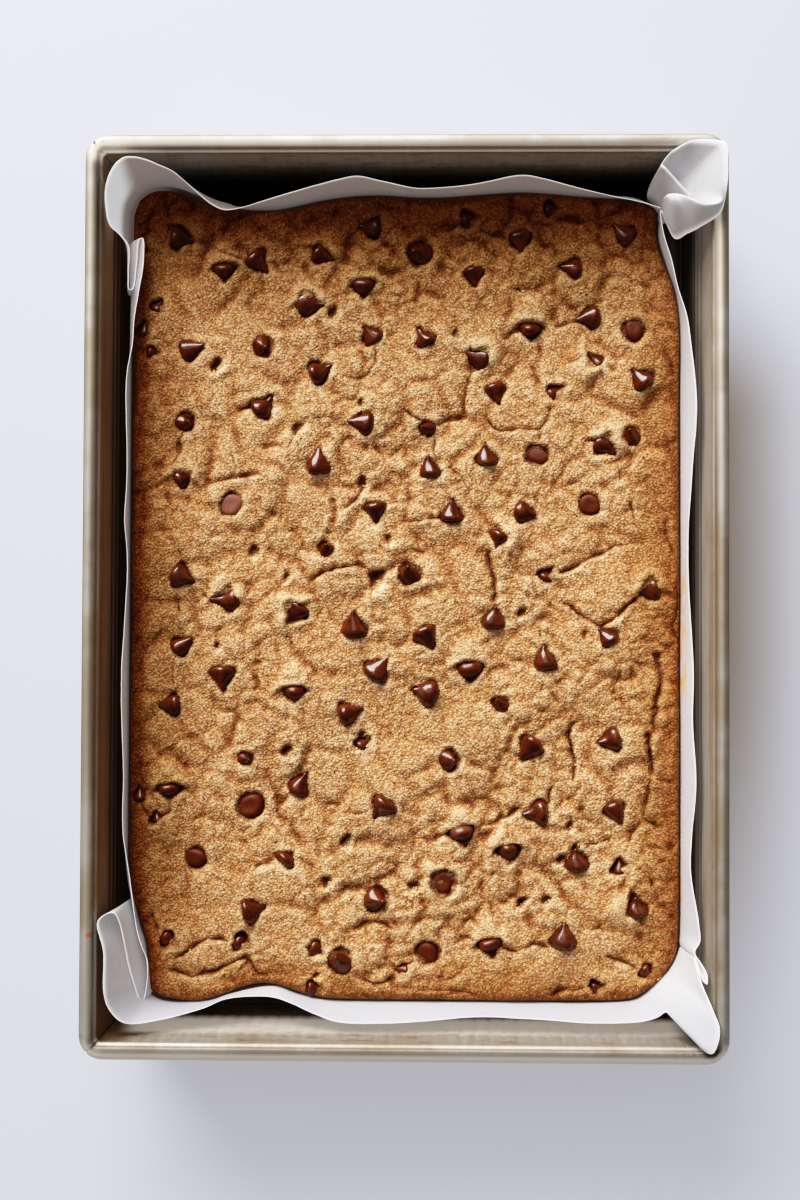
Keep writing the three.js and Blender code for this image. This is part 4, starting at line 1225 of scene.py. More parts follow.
def slab_side(x, y, margin):
    """The nearest point of the slab's warped outline, moved out by a margin."""
    outline = rounded_loop(SLAB_HALF_WIDTH, SLAB_HALF_LENGTH, SLAB_CORNER, 24)
    dense = []
    for start, end in zip(outline, np.roll(outline, -1, axis=0)):
        count = max(1, int(math.dist(start, end) / 2))
        dense += [mix(start, end, step / count) for step in range(count)]
    dense = np.stack(warp(*np.array(dense).T), axis=-1)
    ahead = np.roll(dense, -1, axis=0)
    run = ahead - dense
    share = ((x - dense[:, 0]) * run[:, 0] + (y - dense[:, 1]) * run[:, 1]) / (run ** 2).sum(1)
    near = dense + run * np.clip(share, 0, 1)[:, None]
    best = np.argmin(np.hypot(near[:, 0] - x, near[:, 1] - y))
    outward = np.array([run[best][1], -run[best][0]]) / math.hypot(*run[best])
    return near[best] + outward * margin


def through(points, step):
    """Points about one step apart on a closed smooth curve through the given ones.
    The first three numbers of a point are its place and the rest go along with it."""
    count = len(points)
    curve = []
    for i in range(count):
        before, start, end, after = (points[(i + shift) % count] for shift in (-1, 0, 1, 2))
        gaps = [max(np.linalg.norm(b[:3] - a[:3]), 1e-3) ** 0.5
                for a, b in ((before, start), (start, end), (end, after))]
        slope_start = ((start - before) / gaps[0] - (end - before) / (gaps[0] + gaps[1])
                       + (end - start) / gaps[1]) * gaps[1]
        slope_end = ((end - start) / gaps[1] - (after - start) / (gaps[1] + gaps[2])
                     + (after - end) / gaps[2]) * gaps[1]
        steps = max(2, round(np.linalg.norm(end[:3] - start[:3]) / step))
        for place in range(steps):
            t = place / steps
            curve.append((2 * t ** 3 - 3 * t ** 2 + 1) * start + (t ** 3 - 2 * t ** 2 + t) * slope_start
                         + (3 * t ** 2 - 2 * t ** 3) * end + (t ** 3 - t ** 2) * slope_end)
    return np.array(curve)


def paper_stations():
    """For each given point of the cut edge: its place, the foot that the paper rises
    from there, and a point that bends the rise."""
    stations = []
    for margin, run in PAPER_RUNS:
        for point in run:
            edge = np.array(point[:3], float)
            given_foot = point[4] if len(point) > 4 else slab_side(edge[0], edge[1], margin)
            foot = np.array([given_foot[0], given_foot[1], SLAB_SHOULDER])
            if len(point) > 3:
                via = 2 * np.array(point[3]) - (foot + edge) / 2
            else:
                via = np.array([foot[0], foot[1], (foot[2] + edge[2]) / 2])
            stations.append(np.concatenate([edge, foot, via]))
    return stations


def paper_rows():
    """The middle of the sheet as rows of points, from the floor to the cut edge."""
    curve = through(paper_stations(), PAPER_STEP)
    edge, foot, via = curve[:, :3], curve[:, 3:6], curve[:, 6:9]
    left_side = smooth((-95 - edge[:, 0]) / 4)
    ragged = 0.3 * layered(edge[:, 1] * 3, edge[:, 0], 3, 91) * left_side
    edge = edge + ragged[:, None] * np.array([0, 0, 1])

    def drawn_in(inset, level):
        return np.stack([foot[:, 0] * (1 - inset / SLAB_HALF_WIDTH),
                         foot[:, 1] * (1 - inset / SLAB_HALF_LENGTH),
                         np.full(len(foot), level)], axis=-1)

    rows = [drawn_in(inset, PAPER_FLOOR + rise) for inset, rise in PAPER_FLOOR_ROWS]
    rows += [drawn_in(PAPER_SIDE_INSET, level) for level in reversed(PAPER_SIDE_LEVELS)]
    for share in np.linspace(0, 1, PAPER_ROWS):
        rows.append((1 - share) ** 2 * foot + 2 * share * (1 - share) * via + share ** 2 * edge)
    return np.array(rows)


def make_parchment(material):
    rows = paper_rows()
    crinkle = 0.12 * layered(rows[..., 0] + rows[..., 2], rows[..., 1] - rows[..., 2], 9, 97)
    climb = smooth((rows[..., 2] - SLAB_SHOULDER) / 12)
    along = np.roll(rows, -1, axis=1) - np.roll(rows, 1, axis=1)
    upward = np.gradient(rows, axis=0)
    facing = np.cross(upward, along)
    facing /= np.maximum(np.linalg.norm(facing, axis=-1), 1e-6)[..., None]
    middle = rows + facing * (crinkle * climb)[..., None]
    front = middle + facing * PAPER_THICKNESS / 2
    back = middle - facing * PAPER_THICKNESS / 2
    skin = np.concatenate([back, front[::-1]])
    row_count, columns = skin.shape[:2]
    faces = [face[::-1] for face in grid_faces(row_count, columns, wrap=True)]
    points = skin.reshape(-1, 3)
    low_middle = len(points)
    top_middle = low_middle + 1
    points = np.concatenate([points, [[0, 0, PAPER_FLOOR - PAPER_THICKNESS / 2],
                                      [0, 0, PAPER_FLOOR + PAPER_THICKNESS / 2]]])
    last = (row_count - 1) * columns
    for here in range(columns):
        ahead = (here + 1) % columns
        faces.append((low_middle, here, ahead))
        faces.append((top_middle, last + ahead, last + here))
    cut_edge = np.zeros(skin.shape[:2])
    cut_edge[row_count // 2 - 1:row_count // 2 + 1] = 1
    values = {"cut_edge": np.append(cut_edge.ravel(), [0, 0])}
    return make_piece("parchment", points, faces, values, material)


# Thin paper lets light through, so its shaded side stays bright.
PAPER_GLOW = 0.12


def paper_finish():
    paper = Finish("parchment_paper")
    x, y, z = paper.place.parts()
    fibre = paper.noise(0.6, detail=3, roughness=0.6)
    clouds = paper.noise(12, detail=2)
    grease = paper.noise(7, detail=2)
    fibres = paper.noise(0.5, detail=2, place=paper.stretched(1, 0.2, 0.2))

    white = srgb(192, 191, 195)
    pale_grey = srgb(184, 182, 186)
    fibre_grey = srgb(170, 167, 168)
    near_side_shade_grey = srgb(159, 160, 171)
    warm_grey = srgb(190, 170, 152)
    buttery = srgb(196, 164, 120)
    gap_shade_dark = srgb(52, 28, 16)
    caramel = srgb(222, 158, 78)
    amber = srgb(216, 158, 74)
    brown = srgb(92, 50, 24)
    warm_light = (1.0, 0.96, 0.93, 1.0)
    cool_light = (0.92, 0.97, 1.0, 1.0)

    colour = paper.blend(clouds * 0.5, white, pale_grey)
    colour = paper.blend(fibres.step_up(0.5, 0.75) * 0.3, colour, fibre_grey)
    low = 1 - z.step_up(0.021, 0.031)
    colour = paper.blend(low * 0.4 * grease, colour, buttery)
    # Painted shade: the near side, which the light falls on full, is toned down to a bluish grey.
    nearest = 1 - y.step_up(-0.156, -0.146)
    colour = paper.blend(nearest * 0.7, colour, near_side_shade_grey)
    # Painted shade, nearly black, low on the left and far sides, in the gap by the slab.
    left_side = (0 - x).step_up(0.1, 0.104) * (1 - y.step_up(0.112, 0.122))
    top_side = y.step_up(0.14, 0.148) * x.step_up(-0.09, -0.08)
    darkest_sides = (left_side + top_side).at_most(1.0)
    colour = paper.blend((1 - z.step_up(0.023, 0.031)) * darkest_sides * 0.85, colour, gap_shade_dark)

    # Two runs of caramel on the right side, one broad and one narrow.
    right_side = x.step_up(0.102, 0.104) * (1 - z.step_up(0.03, 0.036))
    by_caramel = (1 - abs(y + 0.013).step_up(0.018, 0.03)) * right_side
    colour = paper.blend((by_caramel * grease.step_up(0.35, 0.6) * 0.9).at_most(0.85), colour, caramel)
    amber_line = (1 - abs(y + 0.112).step_up(0.0045, 0.006)) * right_side * (1 - z.step_up(0.0255, 0.027))
    colour = paper.blend(amber_line * 0.8, colour, amber)

    # Painted shade, dark brown, low on the paper where the slab's edge touches it.
    at_ear = (1 - x.step_up(-0.1, -0.088)) * y.step_up(0.126, 0.142)
    contact_shade = (1 - z.step_up(0.0222, 0.0243)) * (1 - at_ear * 0.85)
    colour = paper.blend(contact_shade * 0.68, colour, brown)

    # One ear in the sun, and warm shade on the rest of the far side.
    sunlit_ear = (1 - x.step_up(-0.109, -0.1035)) * y.step_up(0.112, 0.124) * z.step_up(0.03, 0.038)
    warm_side = y.step_up(0.118, 0.14) * (1 - x.step_up(0.08, 0.09)) * (1 - sunlit_ear)
    colour = paper.blend(warm_side * 0.6, colour, warm_grey)
    # Painted light: a faint glow for light through the thin paper, stronger on the sunlit ear, and a
    # painted highlight along the cut edge.
    cut_edge = paper.value("cut_edge")
    painted_glow = (PAPER_GLOW + sunlit_ear * 0.36 + cut_edge * cut_edge * 0.5).at_most(0.75)
    tinge = paper.blend(sunlit_ear, warm_light, cool_light)
    glow = paper.blend(painted_glow * (1 - contact_shade * 0.75), UNLIT, tinge)
    bump = paper.bump(fibre, 0.08, strength=0.5)
    return paper.surface(Base_Color=colour, Roughness=0.5 + 0.15 * fibre, Normal=bump,
                         Specular_IOR_Level=0.4, Emission_Color=glow, Emission_Strength=1.0)


# The tin, swept from its section by a tree: the section's points hold how far
# outside the mouth's edge the sheet lies and how high, and the plan's points hold
# shares of the half width and half length, anticlockwise from above.

RIDGE_LOW = 21.8
RIDGE_HIGH = 36.5
RIDGE_PITCH = 4.9
RIDGE_DEPTH = 0.45
FLUTE_PITCH = 5.4
FLUTE_DEPTH = 0.12
SEAM_DEPTH = 0.35
# The rolled rim's thickness as a share of its solid's.
RIM_SHARE = 0.992
# How far the underside of the floor is raised, how far in from the mouth's edge its
# points lie, and where it comes down to its foot.
FLOOR_LIFT = 0.4
LIFT_INSETS = (60, 30, 22)
FOOT_INSET = 18
# How far in the points on the upper side of the floor lie.
FLOOR_INSETS = (20, 60)
# Levels of the points on the walls: below the ridges, on them, above them, and those
# that only the outer face has.
LOW_LEVELS = [3, 6, 10, 15, 18.5]
RIDGE_STEP = 0.6
HIGH_LEVELS = [39, 42, 46, 49]
OUTER_LEVELS = [51, 52.4]
# The curl under the rim, on the inside: how far outside the mouth's edge, and how high.
RIM_CURL = [(0, 53.9), (-0.15, 53.5), (-0.55, 53.2), (-0.9, 52.9), (-1.05, 52.4), (-1.1, 51.6),
            (-1.12, 50.4)]
# Points of the plan along a long and a short wall, apart from those round the corners.
SIDE_POINTS = 56
END_POINTS = 250
# Shares of the half width and half length beyond which a point lies on a wall's line.
AT_WALL = (0.9985, 0.9995)


def wall_setback(z):
    """How far in from the mouth's edge the leaning wall is at a level."""
    return (TIN_HEIGHT - z) * math.tan(WALL_DRAFT)


def tin_section():
    """From the middle of the underside out, up, over the rim, down and back in."""
    wall = SHEET_THICKNESS / math.cos(WALL_DRAFT)
    rim_radius = RIM_SHARE * RIM_DIAMETER / 2
    rim_level = TIN_HEIGHT - rim_radius
    middle = -MOUTH_WIDTH / 2
    section = [(middle, FLOOR_LIFT)] + [(-inset, FLOOR_LIFT) for inset in LIFT_INSETS]
    section.append((-FOOT_INSET, 0))
    foot = wall - wall_setback(FLOOR_FILLET)
    for degrees in (-90, -68, -45, -22):
        angle = math.radians(degrees)
        section.append((foot - FLOOR_FILLET * (1 - math.cos(angle)),
                        FLOOR_FILLET * (1 + math.sin(angle))))
    ridged = list(np.arange(RIDGE_LOW - RIDGE_STEP, RIDGE_HIGH + RIDGE_STEP, RIDGE_STEP))
    levels = LOW_LEVELS + ridged + HIGH_LEVELS
    for z in levels + OUTER_LEVELS:
        section.append((wall - wall_setback(z), z))
    for degrees in range(-138, 181, 14):
        angle = math.radians(degrees)
        section.append((rim_radius * (1 + math.cos(angle)), rim_level + rim_radius * math.sin(angle)))
    section += RIM_CURL
    for z in reversed(levels):
        section.append((-wall_setback(z), z))
    inner_foot = SHEET_THICKNESS + FLOOR_FILLET
    for degrees in (0, 22, 45, 68, 90):
        angle = math.radians(degrees)
        section.append((-wall_setback(inner_foot) - FLOOR_FILLET * (1 - math.cos(angle)),
                        inner_foot - FLOOR_FILLET * math.sin(angle)))
    section += [(-inset, SHEET_THICKNESS) for inset in FLOOR_INSETS]
    section.append((middle, SHEET_THICKNESS))
    return section


def plan_shares():
    """Points on a square's edge: fine along the fluted ends and round the corners."""
    corner = [0.9, 0.915, 0.93, 0.9425, 0.955, 0.965, 0.9725, 0.98, 0.986, 0.992, 0.996]
    before = [-share for share in reversed(corner)]
    side = before + list(np.linspace(-0.89, 0.89, SIDE_POINTS)) + corner
    end = before + list(np.linspace(-0.89, 0.89, END_POINTS)) + corner
    loop = [(1, -1)] + [(1, share) for share in side]
    loop += [(1, 1)] + [(-share, 1) for share in end]
    loop += [(-1, 1)] + [(-1, -share) for share in side]
    loop += [(-1, -1)] + [(share, -1) for share in end]
    return loop


def unrolled_tin(tree):
    """A grid with a row for each point of the section and a column for each of the plan,
    and at its points how far out and how high they go and their shares of the plan."""
    rows = tree.given("Rows")
    stations = tree.given("Stations")
    sheet = tree.node("GeometryNodeMeshGrid", {}, {
        "Size X": 1.0, "Size Y": 1.0, "Vertices X": stations + 1, "Vertices Y": rows})
    index = tree.node("GeometryNodeInputIndex")
    row = index % rows
    station = ((index - row) / rows + 0.5).apply("FLOOR") % stations

    def sampled(geometry, number):
        place = tree.node("GeometryNodeInputPosition")
        return tree.node("GeometryNodeSampleIndex", {"data_type": "FLOAT_VECTOR", "domain": "POINT"},
                         {"Geometry": geometry, "Value": place, "Index": number}).parts()

    outline = tree.node("GeometryNodeObjectInfo", {}, {"Object": tree.given("Plan")}).out("Geometry")
    outward, _, level = sampled(tree.given("Geometry"), row)
    share_x, share_y, _ = sampled(outline, station)
    return sheet, outward, level, share_x, share_y


def wall_grooves(tree, level, share_x, share_y, half_width):
    """How deep the ridges along the long walls and the flutes down the short ones are,
    and where a ridge's groove lies, from 0 to 1."""
    along_side = 1 - abs(share_y).step_up(0.86, 0.905)
    along_end = 1 - abs(share_x).step_up(0.84, 0.9)
    turns = (level - tree.given("Ridge Low")) / tree.given("Ridge Pitch") * (2 * math.pi)
    band = level.step_up(RIDGE_LOW * MM, (RIDGE_LOW + 0.3) * MM)
    band = band * (1 - level.step_up((RIDGE_HIGH - 0.3) * MM, RIDGE_HIGH * MM))
    wave = (0.5 - 0.5 * turns.apply("COSINE")) ** 2.5
    groove = wave * band * abs(share_x).step_up(*AT_WALL) * along_side
    across = share_x * half_width / tree.given("Flute Pitch") * (2 * math.pi)
    on_wall = level.step_up(0.006, 0.012) * (1 - level.step_up(0.047, 0.051))
    flute = (across.apply("COSINE") + 0.5 * (across * 2.0).apply("COSINE")) * on_wall
    flute = flute * abs(share_y).step_up(*AT_WALL) * along_end * tree.given("Flute Depth")
    return groove * tree.given("Ridge Depth"), flute, groove


def make_tin(material):
    section = tin_section()
    shares = plan_shares()
    tin = make_piece("tin", [(outward, 0, z) for outward, z in section], [])
    plan = make_piece("tin_plan", [(x / MM, y / MM, 0) for x, y in shares], [])
    tree = Growth("sweep_tin", {
        "Plan": plan, "Stations": len(shares), "Rows": len(section),
        "Half Width": MOUTH_WIDTH / 2 * MM, "Half Length": MOUTH_LENGTH / 2 * MM,
        "Corner": INNER_CORNER * MM, "Corner Growth": CORNER_GROWTH,
        "Ridge Low": RIDGE_LOW * MM, "Ridge Pitch": RIDGE_PITCH * MM, "Ridge Depth": RIDGE_DEPTH * MM,
        "Flute Pitch": FLUTE_PITCH * MM, "Flute Depth": FLUTE_DEPTH * MM,
        "Seam Depth": SEAM_DEPTH * MM})
    sheet, outward, level, share_x, share_y = unrolled_tin(tree)
    half_width = tree.given("Half Width") + outward
    half_length = tree.given("Half Length") + outward
    corner = tree.given("Corner") + outward.at_least(0.0) * tree.given("Corner Growth")
    corner = corner.at_most(half_width.at_least(0.0001))
    ridge, flute, groove = wall_grooves(tree, level, share_x, share_y, half_width)

    # The seam runs up each corner where both walls are as far from the middle.
    width_left = abs(share_x) * half_width - tree.given("Half Width")
    length_left = abs(share_y) * half_length - tree.given("Half Length")
    on_diagonal = 1 - abs(width_left - length_left).step_up(0.0001, 0.0006)
    seam = on_diagonal * level.step_up(0.012, 0.02)
    shift = ridge + flute - seam * tree.given("Seam Depth")

    def rounded(share, other_share, half, other_half):
        """One plan coordinate of the rounded rectangle, with the other's part in it."""
        size = abs(share) * half
        other = abs(other_share) * other_half
        over = ((size - (half - corner)) / corner).at_least(0.0)
        other_over = ((other - (other_half - corner)) / corner).at_least(0.0)
        bent = over * (1 - other_over * other_over * 0.5).apply("SQRT") * corner
        return share.apply("SIGN") * (size.at_most(half - corner) + bent)

    def shifted(plan, share):
        """The shift acts outward: across on the long walls, along on the ends."""
        diagonal = seam * 0.707
        on_wall = abs(share).step_up(*AT_WALL)
        return plan + share.apply("SIGN") * shift * (on_wall * (1 - diagonal) + diagonal).at_most(1.0)

    plan_x = shifted(rounded(share_x, share_y, half_width, half_length), share_x)
    plan_y = shifted(rounded(share_y, share_x, half_length, half_width), share_y)
    marked = tree.move(sheet, position=tree.vector(plan_x, plan_y, level))
    for name, value in (("seam", seam), ("groove", groove), ("outward", outward)):
        marked = tree.store(marked, name, value)
    closed = tree.node("GeometryNodeMergeByDistance", {}, {"Geometry": marked, "Distance": 0.00002})
    piece = tree.grow(tin, closed, material)
    bpy.data.objects.remove(plan)
    return piece


# Marks on the rim: where, how large, and what colour.
RIM_SPOTS = [
    (-116.2, 168.4, 0.9, srgb(24, 18, 14)), (-112.6, 168.6, 0.8, srgb(40, 30, 22)),
    (-116.1, -125.5, 1.3, srgb(214, 120, 40)),
]


class AgedTin(Finish):
    """The tin's metal, with where its walls and its rolled rim lie."""

    def __init__(self):
        super().__init__("aged_tin")
        self.x, self.y, self.z = self.place.parts()
        self.outward = self.value("outward")
        setback = (TIN_HEIGHT * MM - self.z) * math.tan(WALL_DRAFT)
        self.inside = 1 - (self.outward + setback).step_up(0.0003, 0.0006)
        self.clouds = self.noise(26, detail=3, roughness=0.6)
        self.grit = self.noise(0.5, detail=3, roughness=0.7)
        # Across the rolled rim, from 0 at its inner side to 1 at its outer side.
        below_rim = 1 - self.z.step_up(0.0515, 0.0525)
        self.across = self.outward / (RIM_DIAMETER * MM) + 10 * below_rim
        self.on_roll = 1 - self.across.step_up(1.5, 2.0)
        self.near_side = 1 - self.y.step_up(-0.168, -0.162)
        self.upper_edge = self.z.step_up(0.0505, 0.052)
        self.fold = (1 - abs(self.across + 0.02).step_up(0.03, 0.1)) * (1 - self.near_side)
        # A darker, duller grey on the near side's roll.
        self.near_roll_dulled = self.near_side * self.across.step_up(0.02, 0.14) * self.on_roll

    def drawn_grain(self):
        """Fine lines along the long walls and down the short ones."""
        draw = self.noise(1.4, detail=4, roughness=0.7, place=self.stretched(1, 0.04, 0.6))
        streaks = self.noise(2.4, detail=3, roughness=0.6, place=self.stretched(1, 1, 0.05))
        on_side = abs(self.x).step_up(0.1045, 0.1065) * (1 - abs(self.y).step_up(0.158, 0.162))
        return streaks + (draw - streaks) * on_side

    def walls(self, grain):
        """The colour of the sheet: stained by the oven, darker low down, browner inside the
        left wall, and with painted shade low on the far wall and in the ridges' grooves.
        """
        z = self.z
        steel = self.blend(grain, srgb(160, 152, 141), srgb(198, 192, 183))
        stained = srgb(146, 132, 112)
        steel = self.blend(self.clouds.step_up(0.4, 0.75) * 0.5, steel, stained)
        dusky = srgb(110, 86, 64)
        steel = self.blend((1 - z.step_up(0.02, 0.042)) * 0.15, steel, dusky)
        by_left = (0 - self.x).step_up(0.1, 0.106) * (1 - z.step_up(0.051, 0.053)) * self.inside
        bronze = srgb(150, 102, 54)
        steel = self.blend(by_left * 0.6, steel, bronze)
        # Painted shade low on the inside of the far wall, behind the paper.
        far_wall_low_shade = self.y.step_up(0.14, 0.158) * (1 - z.step_up(0.02, 0.04)) * self.inside
        shade_black = srgb(24, 18, 14)
        steel = self.blend(far_wall_low_shade * 0.9, steel, shade_black)
        # Painted shade in the ridges' grooves.
        groove_shade_brown = srgb(52, 36, 26)
        steel = self.blend(self.value("groove") * 0.75, steel, groove_shade_brown)
        tint_bands = self.noise(3.5, detail=2, place=self.stretched(0.3, 0.02, 1))
        warm = tint_bands.step_up(0.52, 0.7) * (1 - z.step_up(0.05, 0.053))
        rusty = srgb(150, 106, 66)
        return self.blend(warm * 0.5, steel, rusty)

    def rim(self, steel):
        """The colour with the rolled rim's lines, stains and spots, a darker, duller grey on
        the near side's roll, and painted shade on the roll's outer side.
        """
        fold_brown = srgb(84, 58, 42)
        steel = self.blend(self.fold * 0.3, steel, fold_brown)
        on_top = self.across.step_up(-0.5, 0.1) * self.on_roll
        straw = srgb(150, 134, 108)
        steel = self.blend(on_top * self.clouds.step_up(0.4, 0.6) * 0.4, steel, straw)
        # Painted shade on the outer side of the roll, on all but the near side.
        outer_roll_shade = self.across.step_up(0.84, 0.93) * self.on_roll * (1 - self.near_side)
        outer_roll_shade_brown = srgb(64, 52, 40)
        steel = self.blend(outer_roll_shade * 0.6, steel, outer_roll_shade_brown)
        near_roll_grey = srgb(112, 106, 102)
        steel = self.blend(self.near_roll_dulled * 0.8, steel, near_roll_grey)
        grit_grey = srgb(110, 102, 92)
        steel = self.blend(self.grit.step_up(0.62, 0.75) * 0.35, steel, grit_grey)
        seam_dark = srgb(40, 32, 26)
        steel = self.blend(self.value("seam") * 0.8, steel, seam_dark)
        by_near_corner = self.near_side * self.x.step_up(0.095, 0.108) * self.grit.step_up(0.54, 0.6)
        speck_brown = srgb(66, 48, 36)
        steel = self.blend(by_near_corner * 0.7, steel, speck_brown)
        for middle_x, middle_y, radius, colour in RIM_SPOTS:
            away_x = self.x - middle_x * MM
            away_y = self.y - middle_y * MM
            away = (away_x * away_x + away_y * away_y).apply("SQRT")
            spot = 1 - away.step_up(0.5 * radius * MM, radius * MM)
            steel = self.blend(spot * self.upper_edge * 0.9, steel, colour)
        return steel

    def light(self):
        """Light that comes through the paper to the walls behind it, and round onto the
        rim."""
        x, y, z = self.x, self.y, self.z
        behind_paper = z.step_up(0.018, 0.026) * (1 - z.step_up(0.037, 0.0425)) * self.inside
        whole_wall = z.step_up(0.02, 0.03) * (1 - z.step_up(0.049, 0.052)) * self.inside
        right_wall = x.step_up(0.104, 0.108) * (1 - abs(y).step_up(0.15, 0.16))
        near_wall = (0 - y).step_up(0.155, 0.159) * (1 - abs(x).step_up(0.1, 0.11))
        far_wall = y.step_up(0.158, 0.162) * z.step_up(0.034, 0.048)
        lit = behind_paper * near_wall * 0.3 + whole_wall * right_wall * 0.06
        lit = lit + whole_wall * far_wall * 0.035

        far_rim = y.step_up(0.16, 0.165)
        inner_half = self.across.step_up(0.05, 0.25) - self.across.step_up(0.45, 0.7)
        inner_side = self.upper_edge * (1 - self.across.step_up(0.35, 0.6))
        lit = lit + far_rim * inner_side * (1 - self.fold * 0.75) * 0.2
        lit = lit + far_rim * inner_half * 0.19 * (1 - x * 9)
        lit = lit + far_rim * (0 - x).step_up(0.1, 0.11) * self.upper_edge * 0.22
        by_fold = self.across.step_up(-0.15, 0.05) - self.across.step_up(0.25, 0.45)
        lit = lit + x.step_up(0.11, 0.113) * y.step_up(0.03, 0.12) * by_fold * 0.3
        lit = lit + (0 - x).step_up(0.11, 0.113) * abs(y).step_up(0.03, 0.1) * inner_half * 0.09
        lit = lit + self.near_side * self.across.step_up(0.25, 0.6) * self.on_roll * 0.34
        warm_light = (1.0, 0.9, 0.8, 1.0)
        return self.blend(lit.at_most(1.0), UNLIT, warm_light)


def tin_finish():
    metal = AgedTin()
    grain = metal.drawn_grain()
    steel = metal.rim(metal.walls(grain))
    roughness = 0.46 + 0.14 * metal.clouds + 0.14 * metal.grit + 0.25 * metal.near_roll_dulled
    bump = metal.bump(grain, 0.05, strength=0.5)
    bump = metal.bump(metal.grit, 0.05, strength=0.4, under=bump)
    return metal.surface(Base_Color=steel, Metallic=0.8, Roughness=roughness, Normal=bump,
                         Emission_Color=metal.light(), Emission_Strength=1.0)


# The torn crumb: how many grains lie on a square metre of fully torn dough, their
# sizes, how uneven they are, and the start of their random places.
CRUMBS_PER_SQUARE_METRE = 900000.0
SMALLEST_CRUMB = 0.22
LARGEST_CRUMB = 0.6
CRUMB_UNEVENNESS = 0.25
CRUMB_SEED = 7


def make_crumbs(ground, material):
    """Small uneven grains on the slab, as many as its torn value calls for."""
    grains = bpy.data.objects.new("torn_crumbs", ground.data.copy())
    bpy.context.scene.collection.objects.link(grains)
    tree = Growth("scatter_torn_crumbs", {
        "Density": CRUMBS_PER_SQUARE_METRE, "Smallest": SMALLEST_CRUMB * MM,
        "Largest": LARGEST_CRUMB * MM, "Seed": CRUMB_SEED})
    density = tree.named("torn").step_up(0.3, 0.9) * tree.given("Density")
    spots = tree.node("GeometryNodeDistributePointsOnFaces", {"distribute_method": "RANDOM"}, {
        "Mesh": tree.given("Geometry"), "Density": density, "Seed": tree.given("Seed")})
    bit = tree.node("GeometryNodeMeshIcoSphere", {}, {"Radius": 1.0, "Subdivisions": 1})
    size = tree.node("FunctionNodeRandomValue", {"data_type": "FLOAT"}, {
        2: tree.given("Smallest"), 3: tree.given("Largest"), "Seed": tree.given("Seed")}, output=1)
    most = 6.28
    turn = tree.node("FunctionNodeRandomValue", {"data_type": "FLOAT_VECTOR"}, {
        0: (0, 0, 0), 1: (most, most, most), "Seed": tree.given("Seed")})
    bits = tree.node("GeometryNodeInstanceOnPoints", {}, {
        "Points": spots, "Instance": bit, "Scale": size, "Rotation": turn})
    real = tree.node("GeometryNodeRealizeInstances", {}, {"Geometry": bits})
    uneven = tree.move(real, offset=tree.sway(2200.0, CRUMB_UNEVENNESS * MM))
    return tree.grow(grains, uneven, material)


def crumb_finish():
    crumb = Finish("torn_crumb")
    tint = crumb.noise(1.5, detail=2)
    colour = crumb.blend(tint, srgb(196, 140, 80), srgb(238, 204, 154))
    bump = crumb.bump(crumb.noise(0.3, detail=1), 0.1, strength=0.5)
    return crumb.surface(Base_Color=colour, Roughness=0.75, Normal=bump, Specular_IOR_Level=0.35)


# The room: floor, daylight from the top left, and the camera above.

# The floor glows faintly, as a lit pane does, so that its shadows stay pale.
FLOOR_GLOW = 0.465
FLOOR_REACH = 1600


def make_floor():
    pale = Finish("pale_floor")
    colour = pale.blend(pale.noise(300, detail=2), srgb(152, 159, 174), srgb(157, 164, 179))
    # The shade right of the tin is deeper and warm.
    x, y, _ = pale.place.parts()
    warm = (1 - x.step_up(0.112, 0.176)) * x.step_up(0.05, 0.1)
    warm = warm * y.step_up(-0.2, -0.01) * (1 - y.step_up(0.07, 0.125))
    colour = pale.blend(warm, colour, srgb(104, 99, 88))
    glow = pale.blend(warm, srgb(239, 236, 243), srgb(168, 152, 130))
    material = pale.surface(Base_Color=colour, Roughness=0.5, Specular_IOR_Level=0.3,
                            Emission_Color=glow, Emission_Strength=FLOOR_GLOW)
    corners = [(x * FLOOR_REACH, y * FLOOR_REACH, 0) for x, y in ((-1, -1), (1, -1), (1, 1), (-1, 1))]
    floor = make_piece("floor", corners, [(0, 1, 2, 3)], {}, material)


# Sizes and places in metres, and strengths in watts.
DAYLIGHT = (1.0, 0.985, 0.96)
WINDOW = {"place": (-0.75, 1.75, 1.0), "width": 1.6, "height": 1.4, "watts": 106}
SKYLIGHT = {"place": (-0.4, 0.9, 1.6), "width": 1.2, "height": 1.0, "watts": 6}
SKY_COLOUR = (0.93, 0.96, 1.0, 1)


def add_daylight(name, place, width, height, watts):
    """A bright rectangle that faces the tin."""
    light = bpy.data.lights.new(name, "AREA")
    light.shape = "RECTANGLE"
    light.size = width
    light.size_y = height
    light.energy = watts
    light.color = DAYLIGHT
    lamp = bpy.data.objects.new(name, light)
    bpy.context.scene.collection.objects.link(lamp)
    lamp.location = place
    lamp.rotation_euler = (-Vector(place)).to_track_quat("-Z", "Y").to_euler()


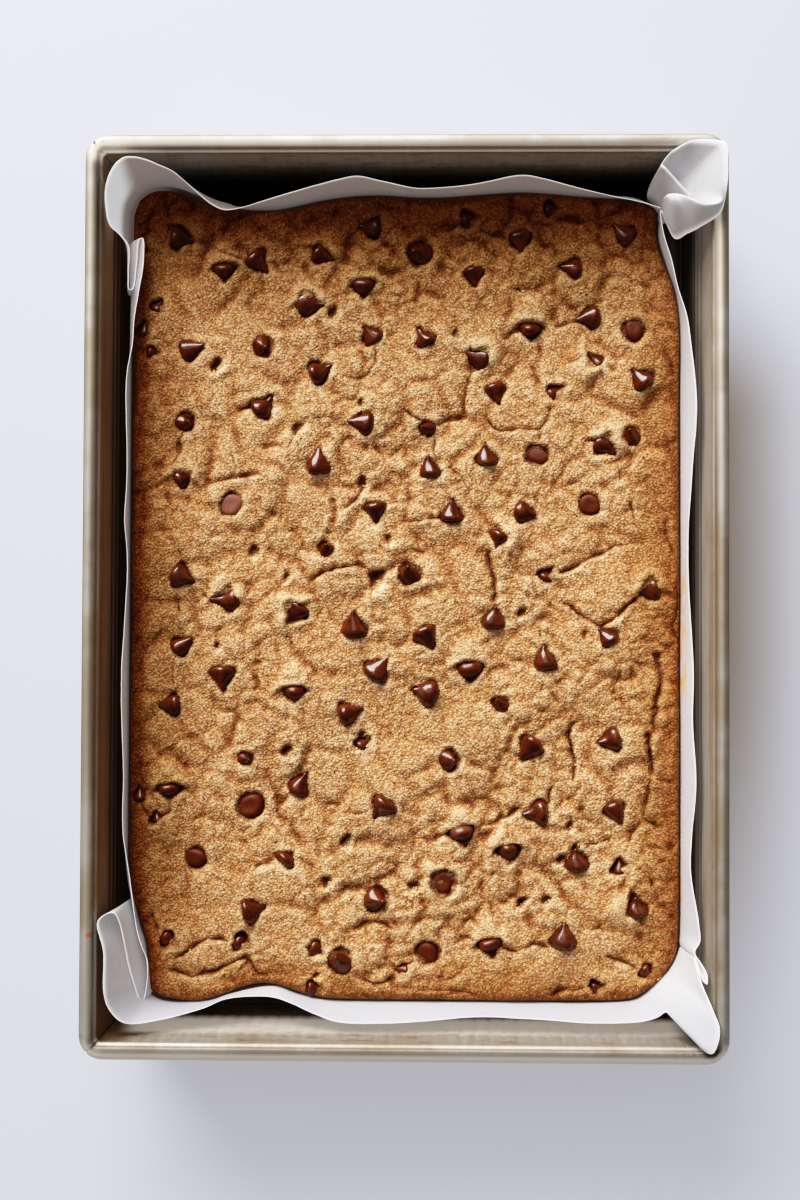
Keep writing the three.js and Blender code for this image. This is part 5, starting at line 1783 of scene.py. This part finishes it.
def light_the_room():
    add_daylight("window", **WINDOW)
    add_daylight("skylight", **SKYLIGHT)
    world = bpy.data.worlds.new("room")
    bpy.context.scene.world = world
    world.use_nodes = True
    room = Tree(world.node_tree)
    world.node_tree.nodes.clear()
    x, y, _ = room.node("ShaderNodeTexCoord").out("Generated").parts()
    toward_window = (y * 0.75 - x * 0.55 + 0.1).step_up(-0.6, 1.0)
    strength = 0.2 + 0.22 * toward_window
    glow = room.node("ShaderNodeBackground", {}, {"Color": SKY_COLOUR, "Strength": strength})
    room.node("ShaderNodeOutputWorld", {}, {"Surface": glow})


# A print's tones: the darks drawn down a little and the brightest lights held back.
TONES = [(0, 0), (0.03, 0.008), (0.08, 0.043), (0.18, 0.135), (0.35, 0.33), (0.6, 0.58),
         (0.85, 0.755), (1.3, 0.91), (2, 1)]
BRIGHTEST = 2


def develop():
    print_settings = bpy.context.scene.view_settings
    print_settings.view_transform = "Standard"
    print_settings.use_curve_mapping = True
    tone = print_settings.curve_mapping.curves[3]
    while len(tone.points) < len(TONES):
        tone.points.new(0.5, 0.5)
    for point, (light, shown) in zip(tone.points, TONES):
        point.location = (light / BRIGHTEST, shown)
    print_settings.curve_mapping.white_level = (BRIGHTEST, BRIGHTEST, BRIGHTEST)
    print_settings.curve_mapping.update()


# The lens and place that give the tin's rim its size and lean in the picture.
PHOTO_HEIGHT = 1200
FOCAL_PIXELS = 1668
SENSOR_HEIGHT = 36
CAMERA_PLACE = (0.0109, -0.0157, 0.6714)
CAMERA_LEAN = (1.306, 1.161, 0.212)


def set_camera():
    lens = bpy.data.cameras.new("view")
    lens.sensor_fit = "VERTICAL"
    lens.sensor_height = SENSOR_HEIGHT
    lens.lens = FOCAL_PIXELS / PHOTO_HEIGHT * SENSOR_HEIGHT
    lens.clip_end = 20
    camera = bpy.data.objects.new("view", lens)
    bpy.context.scene.collection.objects.link(camera)
    camera.location = CAMERA_PLACE
    camera.rotation_euler = tuple(math.radians(angle) for angle in CAMERA_LEAN)
    bpy.context.scene.camera = camera
    develop()


def place_piece(piece, slot, *nodes):
    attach(piece, "root")
    if nodes:
        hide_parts(*nodes)


set_camera()
make_floor()
light_the_room()
slab = make_slab(cookie_finish())
crumbs = make_crumbs(slab, crumb_finish())
place_piece(slab, "cookie", "cookie_bar")
place_piece(crumbs, "cookie")
place_piece(make_chips(chocolate_finish()), "chocolate", "cookie_bar")
place_piece(make_parchment(paper_finish()), "parchment", "parchment_liner")
place_piece(make_tin(tin_finish()), "tin", "baking_tin")
